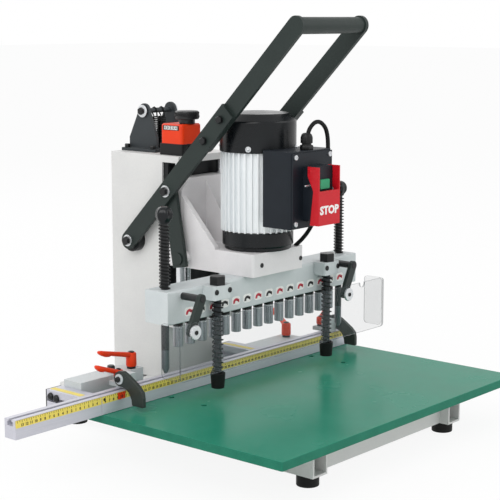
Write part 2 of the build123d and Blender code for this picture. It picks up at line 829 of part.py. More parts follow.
# Index pins: rod with a pointed tip and a knob, each with its return spring
for side, name in ((-1, "left"), (1, "right")):
    with BuildPart() as index_pin:
        x = side * index_x
        post(x, 0, index_tip_z + index_tip_long, index_knob_bottom_z, index_rod_dia)
        with Locations((x, 0, index_tip_z + index_tip_long / 2)):
            Cone(index_tip_dia / 2, index_rod_dia / 2 - 1, index_tip_long)
        lobe_ring = (index_knob_dia - index_knob_lobe_dia) / 2
        with BuildSketch(Plane.XY.offset(index_knob_bottom_z)):
            with Locations((x, 0)):
                Circle(lobe_ring + index_knob_lobe_dia / 6)
                with PolarLocations(lobe_ring, index_knob_lobes):
                    Circle(index_knob_lobe_dia / 2)
        extrude(amount=index_knob_tall)
        chamfer(index_pin.faces().sort_by(Axis.Z)[-1].edges(), 1.5)
    save(index_pin, f"index_pin_{name}")

    with BuildPart() as index_spring:
        coil(
            f"index spring {name}", x, 0, box_top_z, index_knob_bottom_z,
            index_spring_od, index_spring_wire, index_spring_turns,
        )
    save(index_spring, f"index_spring_{name}")

# Hold-downs: blocks on the box, rod with cap and rubber foot, spring between block and foot
with BuildPart() as hold_down_blocks:
    for side in (-1, 1):
        x = side * hold_x
        block(
            x - hold_block_wide / 2, x + hold_block_wide / 2, -box_deep / 2 - hold_block_deep, -box_deep / 2,
            hold_block_bottom_z, box_top_z,
        )
    fillet(hold_down_blocks.edges().filter_by(Axis.Z).group_by(Axis.Y)[0], 5)
    for side in (-1, 1):
        post(side * hold_x, hold_y, hold_block_bottom_z, box_top_z, hold_rod_dia + 2 * run_fit, Mode.SUBTRACT)
save(hold_down_blocks, "hold_down_blocks")

for side, name in ((-1, "left"), (1, "right")):
    with BuildPart() as hold_down:
        x = side * hold_x
        post(x, hold_y, hold_foot_top_z - 1, box_top_z + seat_gap, hold_rod_dia)
        post(x, hold_y, box_top_z + seat_gap, box_top_z + seat_gap + hold_cap_tall, hold_cap_dia)
        with Locations((x, hold_y, hold_foot_bottom_z + hold_foot_tall / 2)):
            Cone(hold_foot_low_dia / 2, hold_foot_dia / 2, hold_foot_tall)
        chamfer(hold_down.edges().group_by(Axis.Z)[-1], 2)
    save(hold_down, f"hold_down_{name}")

with BuildPart() as hold_down_springs:
    for side in (-1, 1):
        coil(
            f"hold-down spring {side:+d}", side * hold_x, hold_y, hold_foot_top_z, hold_block_bottom_z,
            hold_spring_od, hold_spring_wire, hold_spring_turns,
        )
save(hold_down_springs, "hold_down_springs")

# Guard: two parallel crank arms with pins and washers, clear panel
guard_pin_z = guard_pivot_z - guard_arm_drop
for x, name in ((guard_pivot_left_x, "left"), (guard_pivot_right_x, "right")):
    with BuildPart() as guard_arm:
        run = math.hypot(guard_arm_back, guard_arm_drop)
        tilt = math.degrees(math.atan2(guard_arm_drop, guard_arm_back))
        with BuildSketch(Plane.XZ.offset(-guard_arm_back_y)):
            with Locations((x - guard_arm_back / 2, guard_pivot_z - guard_arm_drop / 2)):
                SlotCenterToCenter(run, guard_arm_wide, rotation=tilt)
        extrude(amount=guard_arm_thick)
        front_pin(
            x, guard_arm_front_y, guard_arm_back_y, guard_pivot_z, guard_stud_dia + 2 * run_fit, Mode.SUBTRACT
        )
        pin_x = x - guard_arm_back
        disc_back_y = guard_front_y - seat_gap
        front_pin(pin_x, disc_back_y, guard_arm_front_y, guard_pin_z, guard_pin_dia)
        front_pin(pin_x, disc_back_y - guard_disc_thick, disc_back_y, guard_pin_z, guard_disc_dia)
    save(guard_arm, f"guard_arm_{name}")

with BuildPart() as guard_panel:
    block(guard_left_x, guard_right_x, guard_front_y, guard_back_y, guard_bottom_z, guard_top_z)
    fillet(guard_panel.edges().filter_by(Axis.Y), guard_corner)
    front_pin(
        guard_pivot_left_x - guard_arm_back, guard_front_y, guard_back_y, guard_pin_z,
        guard_pin_dia + 2 * run_fit, Mode.SUBTRACT,
    )
    front_pin(
        guard_pivot_right_x - guard_arm_back, guard_front_y, guard_back_y, guard_pin_z,
        guard_pin_dia + 2 * guard_pin_play, Mode.SUBTRACT,
    )
    notch_z = guard_top_z - guard_notch_deep + guard_notch_dia / 2
    front_pin(guard_notch_x, guard_front_y, guard_back_y, notch_z, guard_notch_dia, Mode.SUBTRACT)
save(guard_panel, "guard_panel")

# Lever: lower bars, lapped extension bars with the cross handle, bolts, and the links to the head
lever_outer_x = lever_inner_x + lever_bar_thick
extension_inner_x = lever_inner_x - lever_bar_thick
link_top = along_lever(link_joint_at)
link_foot = (link_foot_y, link_foot_z)
with BuildPart() as lever_bars:
    for side in (-1, 1):
        near = min(side * lever_inner_x, side * lever_outer_x)
        far = max(side * lever_inner_x, side * lever_outer_x)
        cross_pin(near, far, *along_lever(0), lever_bar_wide)
        side_plate(near, far, [
            along_lever(0, -lever_bar_wide / 2),
            along_lever(lever_bar_long, -lever_bar_wide / 2),
            along_lever(lever_bar_long, lever_bar_wide / 2),
            along_lever(0, lever_bar_wide / 2),
        ])
        for y, z in (along_lever(0), link_top):
            cross_pin(near, far, y, z, bolt_dia, Mode.SUBTRACT)
    handle_y, handle_z = along_lever(handle_at)
    for side in (-1, 1):
        near = min(side * extension_inner_x, side * lever_inner_x)
        far = max(side * extension_inner_x, side * lever_inner_x)
        start = along_lever(extension_start + lever_bar_wide / 2)
        bar_between(near, far, start, (handle_y, handle_z), lever_bar_wide)
    cross_pin(-extension_inner_x, extension_inner_x, handle_y, handle_z, handle_dia)
save(lever_bars, "lever_bars")

with BuildPart() as lever_pins:
    for side in (-1, 1):
        for y, z, reach in [(*along_lever(0), column_wide / 2), (*link_top, link_inner_x)]:
            cross_pin(side * reach, side * lever_outer_x, y, z, bolt_dia)
            cross_pin(side * lever_outer_x, side * (lever_outer_x + washer_thick), y, z, washer_dia)
save(lever_pins, "lever_pins")

with BuildPart() as links:
    for side in (-1, 1):
        near = min(side * link_inner_x, side * link_outer_x)
        far = max(side * link_inner_x, side * link_outer_x)
        bar_between(near, far, link_foot, link_top, link_wide)
        cross_pin(near, far, *link_foot, link_pin_dia + 2 * run_fit, Mode.SUBTRACT)
        cross_pin(near, far, *link_top, bolt_dia + 2 * link_play, Mode.SUBTRACT)
save(links, "links")

with BuildPart() as link_pins:
    for side in (-1, 1):
        boss_x = platform_wide / 2 + link_boss_long
        face_x = link_outer_x + seat_gap
        cross_pin(side * boss_x, side * face_x, *link_foot, link_pin_dia)
        cross_pin(side * face_x, side * (face_x + washer_thick), *link_foot, washer_dia)
save(link_pins, "link_pins")

# Return springs inside the column, from the bracket's pin to the head's tongue
with BuildPart() as return_springs:
    for side in (-1, 1):
        coil(
            f"return spring {side:+d}", side * return_spring_x, bracket_y, tongue_z + tongue_tall,
            bracket_pin_z - bracket_pin_dia / 2, return_spring_od, return_spring_wire, return_spring_turns,
        )
save(return_springs, "return_springs")


def tslot(mouth_centre, height_centre, facing):
    """Cut one T-slot profile into the open sketch: facing is 'up', 'left' or 'right'."""
    for wide, deep, start in ((tslot_mouth, tslot_lip, 0), (tslot_inside, tslot_deep - tslot_lip, tslot_lip)):
        middle = start + deep / 2
        if facing == "up":
            with Locations((mouth_centre, height_centre - middle)):
                Rectangle(wide, deep, mode=Mode.SUBTRACT)
        else:
            step = middle if facing == "left" else -middle
            with Locations((mouth_centre + step, height_centre)):
                Rectangle(deep, wide, mode=Mode.SUBTRACT)


# Fence with its extension, and the two rails with their end caps
with BuildPart() as fence:
    fence_mid_y = fence_front_y + fence_deep / 2
    fence_mid_z = (fence_bottom_z + fence_top_z) / 2
    for x0, x1 in ((fence_left_x, fence_right_x), (extension_left_x, fence_left_x - extension_gap)):
        with BuildSketch(Plane.YZ.offset(x0)):
            with Locations((fence_mid_y, fence_mid_z)):
                Rectangle(fence_deep, fence_tall)
            tslot(fence_mid_y, fence_top_z, "up")
            with Locations((fence_front_y + scale_recess / 2, fence_top_z - 1 - scale_tall / 2)):
                Rectangle(scale_recess, scale_tall, mode=Mode.SUBTRACT)
        extrude(amount=x1 - x0)
    for x0 in (rail_left_x, rail_right_x):
        with BuildSketch(Plane.XZ.offset(-rail_back_y)):
            with Locations((x0 + rail_wide / 2, fence_mid_z)):
                Rectangle(rail_wide, fence_tall)
            tslot(x0, fence_mid_z, "left")
            tslot(x0 + rail_wide, fence_mid_z, "right")
        extrude(amount=rail_back_y - fence_back_y)
        block(x0, x0 + rail_wide, rail_back_y, rail_back_y + rail_cap_thick, fence_bottom_z, fence_top_z)
save(fence, "fence")

# Each saddle grips its rail with a key and carries a clamp lever: rail, clamp place, reach past it, height
saddle_set = [
    (rail_left_x, clamp_left_x, clamp_left_y, saddle_left_past, saddle_left_tall),
    (rail_right_x, clamp_right_x, clamp_right_y, saddle_right_past, saddle_right_tall),
]
with BuildPart() as rail_saddles:
    key_half = tslot_mouth / 2 - seat_gap
    for rail_x, clamp_x, clamp_y, past, tall in saddle_set:
        face = rail_x + rail_wide + seat_gap
        saddle_top_z = table_top_z + tall
        block(face, clamp_x + past, saddle_front_y, saddle_front_y + saddle_deep, table_top_z, saddle_top_z)
        block(
            face - tongue_key_out, face, saddle_front_y, saddle_front_y + tongue_key_long,
            fence_mid_z - key_half, fence_mid_z + key_half,
        )
        post(
            clamp_x, clamp_y, saddle_top_z - clamp_stud_deep, saddle_top_z,
            clamp_stud_dia + 2 * run_fit, Mode.SUBTRACT,
        )
save(rail_saddles, "rail_saddles")


def clamp_lever(x, y, z, heading, hub_d, hub_h, arm_long, arm_rise, stud_deep):
    """Build a clamp lever into the open part: hub, threaded stud and a rising arm.

    Args:
        x, y, z: foot of the hub.
        heading: direction of the arm about Z, degrees from +X.
        hub_d, hub_h: hub diameter and height.
        arm_long, arm_rise: reach and rise of the arm.
        stud_deep: depth of the hole that takes the stud.
    """
    turn = math.radians(heading)
    post(x, y, z - stud_deep + 1, z, clamp_stud_dia)
    post(x, y, z, z + hub_h, hub_d)
    ahead = (math.cos(turn), math.sin(turn), 0)
    aside = (math.sin(turn), -math.cos(turn), 0)
    with BuildSketch(Plane((x, y, z), x_dir=ahead, z_dir=aside)) as outline:
        with Locations((arm_long / 2, hub_h - clamp_arm_thick / 2 + arm_rise / 2)):
            SlotCenterToCenter(
                math.hypot(arm_long, arm_rise), clamp_arm_thick,
                rotation=math.degrees(math.atan2(arm_rise, arm_long)),
            )
    extrude(outline.sketch, amount=clamp_arm_wide / 2, both=True)


saddle_levers = [
    ("left", clamp_left_x, clamp_left_y, clamp_left_heading, saddle_left_tall),
    ("right", clamp_right_x, clamp_right_y, clamp_right_heading, saddle_right_tall),
]
for name, x, y, heading, tall in saddle_levers:
    with BuildPart() as saddle_lever:
        clamp_lever(
            x, y, table_top_z + tall + seat_gap, heading,
            clamp_hub_dia, clamp_hub_tall, clamp_arm_long, clamp_arm_rise, clamp_stud_deep,
        )
    save(saddle_lever, f"saddle_lever_{name}")

# Flip stops: bases with a lug for the pivot bolt, curved stop plates, clamp levers behind the lugs
with BuildPart() as stop_bases:
    for side in (-1, 1):
        inner = side * (stop_x - seat_gap - stop_base_wide)
        outer = side * (stop_x - seat_gap)
        block(
            min(inner, outer), max(inner, outer), fence_front_y + 4, stop_base_back_y,
            fence_top_z, fence_top_z + stop_base_tall,
        )
        block(
            min(inner, outer), max(inner, outer), fence_front_y + 4, stop_lug_back_y,
            fence_top_z, fence_top_z + stop_lug_tall,
        )
        face = side * (stop_x + stop_thick + seat_gap)
        cross_pin(outer, face, stop_pivot_y, stop_pivot_z, stop_pivot_dia)
        cross_pin(face, face + side * washer_thick, stop_pivot_y, stop_pivot_z, stop_washer_dia)
        post(
            (inner + outer) / 2, stop_lever_y, fence_top_z + stop_base_tall - stop_stud_deep,
            fence_top_z + stop_base_tall, clamp_stud_dia + 2 * run_fit, Mode.SUBTRACT,
        )
save(stop_bases, "stop_bases")

stop_outline = [
    (66, 139), (70, 149), (66, 158), (57, 163.5), (46, 164), (34, 159), (21, 151), (7, 142), (-2, 133),
    (-4, 122), (-4, 105), (24, 105), (25, 115), (30, 126), (38, 132), (47, 134.5), (58, 135),
]
for side, heading, name in ((-1, 180, "left"), (1, 20, "right")):
    with BuildPart() as stop_arm:
        plate_x = min(side * stop_x, side * (stop_x + stop_thick))
        side_plate(plate_x, plate_x + stop_thick, stop_outline)
        fillet(stop_arm.edges().filter_by(Axis.X), 2)
        cross_pin(
            plate_x, plate_x + stop_thick, stop_pivot_y, stop_pivot_z,
            stop_pivot_dia + 2 * run_fit, Mode.SUBTRACT,
        )
    save(stop_arm, f"stop_arm_{name}")

    with BuildPart() as stop_lever:
        clamp_lever(
            side * (stop_x - seat_gap - stop_base_wide / 2), stop_lever_y,
            fence_top_z + stop_base_tall + seat_gap, heading,
            stop_hub_dia, stop_hub_tall, stop_arm_long, stop_arm_rise, stop_stud_deep,
        )
    save(stop_lever, f"stop_lever_{name}")
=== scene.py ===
"""Line boring machine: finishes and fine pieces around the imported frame.

Sizes in the classes are millimetres in the machine's own frame: +Z up, the operator's side towards -Y,
origin on the floor below the middle spindle. Meshes and the levels of zones are in metres.
"""

import json
import logging
import math
from dataclasses import dataclass
from enum import Enum
from typing import Callable, Optional, Sequence

import bmesh
import bpy
from mathutils import Matrix, Vector

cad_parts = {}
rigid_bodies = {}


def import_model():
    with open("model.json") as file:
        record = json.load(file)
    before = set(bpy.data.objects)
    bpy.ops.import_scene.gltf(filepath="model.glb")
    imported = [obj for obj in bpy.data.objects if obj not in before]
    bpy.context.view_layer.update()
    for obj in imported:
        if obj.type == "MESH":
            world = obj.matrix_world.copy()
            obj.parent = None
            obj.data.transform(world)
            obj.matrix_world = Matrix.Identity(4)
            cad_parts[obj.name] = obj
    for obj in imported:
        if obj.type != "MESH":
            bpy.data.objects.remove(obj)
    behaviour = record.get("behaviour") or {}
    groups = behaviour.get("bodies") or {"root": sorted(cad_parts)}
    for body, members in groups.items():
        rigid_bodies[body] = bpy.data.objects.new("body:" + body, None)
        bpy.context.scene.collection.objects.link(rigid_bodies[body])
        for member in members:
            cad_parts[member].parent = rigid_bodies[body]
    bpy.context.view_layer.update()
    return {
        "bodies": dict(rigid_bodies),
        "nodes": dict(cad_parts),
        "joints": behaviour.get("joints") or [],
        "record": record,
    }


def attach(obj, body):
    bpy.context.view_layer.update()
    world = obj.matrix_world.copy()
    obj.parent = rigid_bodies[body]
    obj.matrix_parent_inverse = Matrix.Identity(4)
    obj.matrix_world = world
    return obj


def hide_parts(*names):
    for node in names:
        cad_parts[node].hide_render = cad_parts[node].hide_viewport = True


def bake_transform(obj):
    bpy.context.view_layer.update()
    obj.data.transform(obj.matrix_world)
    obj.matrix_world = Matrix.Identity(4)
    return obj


LOG = logging.getLogger("line_borer")
MM = 0.001
SHARP = math.radians(34)
SAME_POINT = 2e-6
UP = (0.0, 0.0, 1.0)
FRONT = (0.0, -1.0, 0.0)
UPRIGHT = Matrix.Rotation(math.radians(90), 4, "X")
# First input and output of a Mix node, for each kind of value.
MIX_SOCKETS = {"FLOAT": (2, 0), "RGBA": (6, 2)}

Pair = tuple[float, float]
Point = tuple[float, float, float]
Colour = tuple[int, int, int]
Loose = bmesh.types.BMesh
Mesh = bpy.types.Mesh
Material = bpy.types.Material
Object = bpy.types.Object
Tree = bpy.types.NodeTree
Node = bpy.types.Node
Socket = bpy.types.NodeSocket
Sockets = bpy.types.bpy_prop_collection


class Side(Enum):
    """Left and right halves of the machine, as the operator sees them."""

    LEFT = -1
    RIGHT = 1

    @property
    def label(self) -> str:
        """The side's name in lower case, as node names have it."""
        return self.name.lower()

    @property
    def out(self) -> Point:
        """The direction away from the machine's middle."""
        return float(self.value), 0.0, 0.0


class Head(Enum):
    """Shapes that are set out in rows: screw heads, washers, marks and bars."""

    HEX = "hex"
    SOCKET = "socket"
    DOME = "dome"
    WASHER = "washer"
    BAR = "bar"
    ARROW = "arrow"
    PAD = "pad"


@dataclass(frozen=True)
class Finish:
    """One surface: two close tints, a roughness span and the grain that varies them."""

    tint: Colour
    shade: Colour
    rough: Pair = (0.38, 0.5)
    metal: float = 0.0
    mottle: float = 16.0
    grain: float = 420.0
    stretch: Point = (1.0, 1.0, 1.0)
    bump: float = 0.12
    gloss: float = 0.5


@dataclass(frozen=True)
class Zone:
    """The part of a piece beyond a plane, which has a finish of its own."""

    finish: Finish
    towards: Point
    level: float
    soft: float = 0.0004


@dataclass(frozen=True)
class Winding:
    """A coil: radius to the middle of the wire, turns, wire and a length at each end."""

    radius: float
    turns: float
    wire: float
    still: Pair = (1.0, 1.0)


class Tone:
    """The finishes of the machine."""

    LIGHT_PAINT = Finish((221, 221, 219), (213, 213, 212), (0.34, 0.46))
    CAST = Finish((228, 226, 227), (218, 216, 217), (0.4, 0.55), mottle=26.0, grain=700.0, bump=0.25)
    CASE = Finish((206, 212, 213), (196, 203, 205), (0.34, 0.48), mottle=22.0)
    DARK_PAINT = Finish((58, 63, 66), (48, 53, 56), (0.4, 0.54), grain=800.0, bump=0.25, gloss=0.3)
    LEVER_PAINT = Finish((41, 51, 48), (33, 42, 40), (0.38, 0.52), grain=800.0, bump=0.2, gloss=0.3)
    BLACKED = Finish((30, 32, 34), (21, 23, 25), (0.3, 0.46), mottle=30.0, gloss=0.25)
    GLOSS_BLACK = Finish((18, 22, 25), (12, 15, 18), (0.22, 0.34), mottle=24.0, bump=0.05, gloss=0.3)
    SCREW_BLACK = Finish((33, 34, 36), (22, 23, 24), (0.28, 0.42), metal=0.35, mottle=90.0)
    SLATE = Finish((30, 36, 43), (23, 28, 35), (0.34, 0.48), grain=1300.0, bump=0.25, gloss=0.22)
    BLACK_PLASTIC = Finish((22, 23, 24), (15, 16, 17), (0.32, 0.46), grain=1400.0, bump=0.3, gloss=0.28)
    RUBBER = Finish((18, 19, 19), (11, 12, 12), (0.5, 0.65), grain=900.0, bump=0.35, gloss=0.22)
    CHROME = Finish((228, 230, 232), (208, 211, 214), (0.1, 0.2), metal=1.0, stretch=(1, 1, 0.15))
    ZINC = Finish((224, 226, 228), (204, 207, 210), (0.24, 0.36), metal=0.7, mottle=60.0)
    ALLOY = Finish((250, 252, 253), (232, 236, 238), (0.3, 0.42), metal=0.25, stretch=(1, 1, 0.08))
    EXTRUSION = Finish((206, 206, 214), (193, 193, 203), (0.36, 0.48), metal=0.4, mottle=30.0,
                       stretch=(0.04, 1, 1))
    CHUCK = Finish((176, 183, 188), (108, 114, 118), (0.24, 0.38), metal=0.7, mottle=320.0,
                   stretch=(1, 1, 0.02))
    LAMINATE = Finish((50, 138, 114), (40, 126, 102), (0.18, 0.28), mottle=9.0, grain=950.0, bump=0.06)
    LAMINATE_EDGE = Finish((44, 122, 99), (36, 110, 89), (0.34, 0.46), mottle=40.0, gloss=0.07)
    ORANGE = Finish((238, 66, 20), (226, 55, 15), (0.32, 0.44), grain=1200.0, bump=0.2, gloss=0.3)
    RED = Finish((204, 22, 36), (190, 16, 30), (0.3, 0.42), grain=1200.0, bump=0.15, gloss=0.3)
    GREEN = Finish((38, 156, 108), (28, 142, 95), (0.28, 0.4), grain=1200.0, gloss=0.4)
    SPRING = Finish((13, 14, 14), (7, 8, 8), (0.34, 0.48), metal=0.1, mottle=120.0, gloss=0.25)
    SCALE = Finish((236, 217, 104), (228, 207, 92), (0.4, 0.5), mottle=40.0)
    INK = Finish((26, 26, 28), (20, 20, 22), (0.45, 0.55), mottle=200.0)
    INK_RED = Finish((196, 44, 66), (184, 38, 58), (0.45, 0.55), mottle=200.0)
    PRINT_WHITE = Finish((240, 240, 238), (232, 232, 230), (0.42, 0.52), mottle=80.0)
    STOP_ARM = Finish((56, 62, 59), (46, 52, 49), (0.34, 0.48), metal=0.1, mottle=50.0, gloss=0.35)
    STEEL_ROD = Finish((112, 118, 124), (88, 94, 100), (0.24, 0.36), metal=0.6, stretch=(1, 1, 0.1))
    CLEAR_FACE = Finish((132, 138, 141), (122, 129, 132), (0.06, 0.12), mottle=7.0, gloss=0.2)
    CLEAR_RIM = Finish((96, 104, 107), (80, 88, 91), (0.1, 0.2), mottle=60.0)


def linear(colour: Colour) -> tuple[float, ...]:
    """Turns a screen colour, 0 to 255, into the linear values of a shader, with an alpha of 1."""
    channel = [c / 255 for c in colour]
    return *(c / 12.92 if c <= 0.04045 else ((c + 0.055) / 1.055) ** 2.4 for c in channel), 1.0


def metres(place: Sequence[float]) -> tuple[float, ...]:
    """A place in metres."""
    return tuple(c * MM for c in place)


def angles(count: int, phase: float = 0.0) -> list[float]:
    """Equal steps of a full turn in radians, the first at a phase in degrees."""
    return [2 * math.pi * k / count + math.radians(phase) for k in range(count)]


def feed(tree: Tree, node: Node, inputs: dict) -> None:
    """Links or sets inputs of a node.

    Args:
        tree: the node tree.
        node: the node.
        inputs: a socket or a value for each input, by the input's name or number.
    """
    for label, value in inputs.items():
        if isinstance(value, Socket):
            tree.links.new(value, node.inputs[label])
        else:
            node.inputs[label].default_value = value


def add_node(tree: Tree, kind: str, inputs: dict, **settings: object) -> Sockets:
    """Adds a node to a tree.

    Args:
        tree: the node tree.
        kind: the node's type.
        inputs: a socket or a value for each input, by the input's name or number.
        settings: the node's own properties.

    Returns:
        The node's outputs.
    """
    node = tree.nodes.new(kind)
    for name, value in settings.items():
        setattr(node, name, value)
    feed(tree, node, inputs)
    return node.outputs


def start_tree(name: str, kind: str, inputs: dict[str, str], outputs: dict[str, str]) -> tuple:
    """Starts a node group with its sockets.

    Args:
        name: the group's name.
        kind: Shader or Geometry.
        inputs: the kind of each input by its name.
        outputs: the kind of each output by its name.

    Returns:
        The tree, the sockets of its inputs, and its output node.
    """
    tree = bpy.data.node_groups.new(name, f"{kind}NodeTree")
    for way, sockets in (("INPUT", inputs), ("OUTPUT", outputs)):
        for label, socket in sockets.items():
            tree.interface.new_socket(label, in_out=way, socket_type=f"NodeSocket{socket}")
    return tree, tree.nodes.new("NodeGroupInput").outputs, tree.nodes.new("NodeGroupOutput")


def mix(tree: Tree, kind: str, factor: object, low: object, high: object) -> Socket:
    """Mixes two sockets or values, FLOAT or RGBA: low where the factor is 0 and high where it is 1."""
    a, result = MIX_SOCKETS[kind]
    return add_node(tree, "ShaderNodeMix", {"Factor": factor, a: low, a + 1: high}, data_type=kind)[result]


def new_material(name: str) -> tuple[Material, Tree, Node]:
    """Makes a material that is still plain.

    Args:
        name: the material's name.

    Returns:
        The material, its node tree and its Principled node.
    """
    material = bpy.data.materials.new(name)
    material.use_nodes = True
    tree = material.node_tree
    return material, tree, tree.nodes["Principled BSDF"]


class Palette:
    """Builds each finish once as a procedural material from shared node groups."""

    NOISE_SPAN = (0.34, 0.66)
    FINE_SHARE = 0.4
    BUMP_DEEP = 0.0002
    # The clear sheet is seen on edge below the first facing and face on above the second.
    SHEET_FACING = (0.6, 0.95)
    SHEET_ALPHA = (0.5, 0.09)

    def __init__(self) -> None:
        """Makes the two shader groups that every finish uses."""
        self._made: dict[str, Material] = {}
        self.grain = self._grain_group()
        self.zone = self._zone_group()

    def _grain_group(self) -> Tree:
        """Builds mottling and fine grain, which vary a colour, a roughness and a height together.

        Returns:
            The shader group.
        """
        tree, source, sink = start_tree(
            "surface_grain", "Shader",
            {"Vector": "Vector", "Tint": "Color", "Shade": "Color", "Mottle": "Float", "Grain": "Float",
             "Stretch": "Vector", "Rough Low": "Float", "Rough High": "Float"},
            {"Color": "Color", "Roughness": "Float", "Height": "Float"})
        scaled = add_node(tree, "ShaderNodeVectorMath", {0: source["Vector"], 1: source["Stretch"]},
                          operation="MULTIPLY")
        fields = []
        for scale, detail in (("Mottle", 3.0), ("Grain", 2.0)):
            noise = add_node(tree, "ShaderNodeTexNoise", {
                "Vector": scaled[0], "Scale": source[scale], "Detail": detail})
            spread = add_node(tree, "ShaderNodeMapRange", {
                "Value": noise["Fac"], "From Min": self.NOISE_SPAN[0], "From Max": self.NOISE_SPAN[1]})
            fields.append(spread["Result"])
        mottle, fine = fields
        both = mix(tree, "FLOAT", self.FINE_SHARE, mottle, fine)
        rough = add_node(tree, "ShaderNodeMapRange", {
            "Value": mottle, "To Min": source["Rough Low"], "To Max": source["Rough High"]})
        feed(tree, sink, {"Color": mix(tree, "RGBA", both, source["Shade"], source["Tint"]),
                          "Roughness": rough["Result"], "Height": fine})
        return tree

    @staticmethod
    def _zone_group() -> Tree:
        """Builds a mask that turns from 0 to 1 across a plane.

        Returns:
            The shader group.
        """
        tree, source, sink = start_tree(
            "zone_mask", "Shader",
            {"Vector": "Vector", "Towards": "Vector", "Level": "Float", "Soft": "Float"}, {"Mask": "Float"})
        along = add_node(tree, "ShaderNodeVectorMath", {0: source["Vector"], 1: source["Towards"]},
                         operation="DOT_PRODUCT")
        past = add_node(tree, "ShaderNodeMath", {0: along["Value"], 1: source["Level"]}, operation="SUBTRACT")
        share = add_node(tree, "ShaderNodeMath", {0: past[0], 1: source["Soft"]}, operation="DIVIDE",
                         use_clamp=True)
        feed(tree, sink, {"Mask": share[0]})
        return tree

    def _layer(self, tree: Tree, vector: Socket, finish: Finish) -> Sockets:
        """Places the grain group with a finish's values, and gives its Color, Roughness and Height."""
        low, high = finish.rough
        return add_node(tree, "ShaderNodeGroup", {
            "Vector": vector, "Tint": linear(finish.tint), "Shade": linear(finish.shade),
            "Mottle": finish.mottle, "Grain": finish.grain, "Stretch": finish.stretch, "Rough Low": low,
            "Rough High": high}, node_tree=self.grain)

    def get(self, name: str, finish: Finish, *zones: Zone) -> Material:
        """Makes a material, or gives the one already made under that name.

        Args:
            name: the material's name.
            finish: the surface of the whole piece.
            zones: parts of it with finishes of their own, later ones on top.

        Returns:
            The material.
        """
        if name in self._made:
            return self._made[name]
        material, tree, shader = new_material(name)
        place = add_node(tree, "ShaderNodeTexCoord", {})["Object"]
        base = self._layer(tree, place, finish)
        colour, rough, height, metal = base["Color"], base["Roughness"], base["Height"], finish.metal
        for zone in zones:
            mask = add_node(tree, "ShaderNodeGroup", {
                "Vector": place, "Towards": zone.towards, "Level": zone.level, "Soft": zone.soft},
                node_tree=self.zone)["Mask"]
            over = self._layer(tree, place, zone.finish)
            colour = mix(tree, "RGBA", mask, colour, over["Color"])
            rough = mix(tree, "FLOAT", mask, rough, over["Roughness"])
            height = mix(tree, "FLOAT", mask, height, over["Height"])
            metal = mix(tree, "FLOAT", mask, metal, zone.finish.metal)
        bump = add_node(tree, "ShaderNodeBump", {
            "Strength": finish.bump, "Distance": self.BUMP_DEEP, "Height": height})
        feed(tree, shader, {"Base Color": colour, "Roughness": rough, "Metallic": metal,
                            "Specular IOR Level": finish.gloss, "Normal": bump["Normal"]})
        self._made[name] = material
        return material

    def clear_sheet(self, across: str) -> Material:
        """Makes the guard's clear plastic: see-through faces, fuller and darker edges.

        Args:
            across: the axis across the sheet, X or Y.

        Returns:
            The material.
        """
        material, tree, shader = new_material(f"guard_clear_{across.lower()}")
        place = add_node(tree, "ShaderNodeTexCoord", {})
        split = add_node(tree, "ShaderNodeSeparateXYZ", {0: place["Normal"]})
        flat = add_node(tree, "ShaderNodeMath", {0: split[across]}, operation="ABSOLUTE")[0]
        face = self._layer(tree, place["Object"], Tone.CLEAR_FACE)
        rim = self._layer(tree, place["Object"], Tone.CLEAR_RIM)
        alpha = add_node(tree, "ShaderNodeMapRange", {
            "Value": flat, "From Min": self.SHEET_FACING[0], "From Max": self.SHEET_FACING[1],
            "To Min": self.SHEET_ALPHA[0], "To Max": self.SHEET_ALPHA[1]})
        feed(tree, shader, {"Base Color": mix(tree, "RGBA", flat, rim["Color"], face["Color"]),
                            "Roughness": face["Roughness"], "Alpha": alpha["Result"],
                            "Specular IOR Level": Tone.CLEAR_FACE.gloss})
        return material


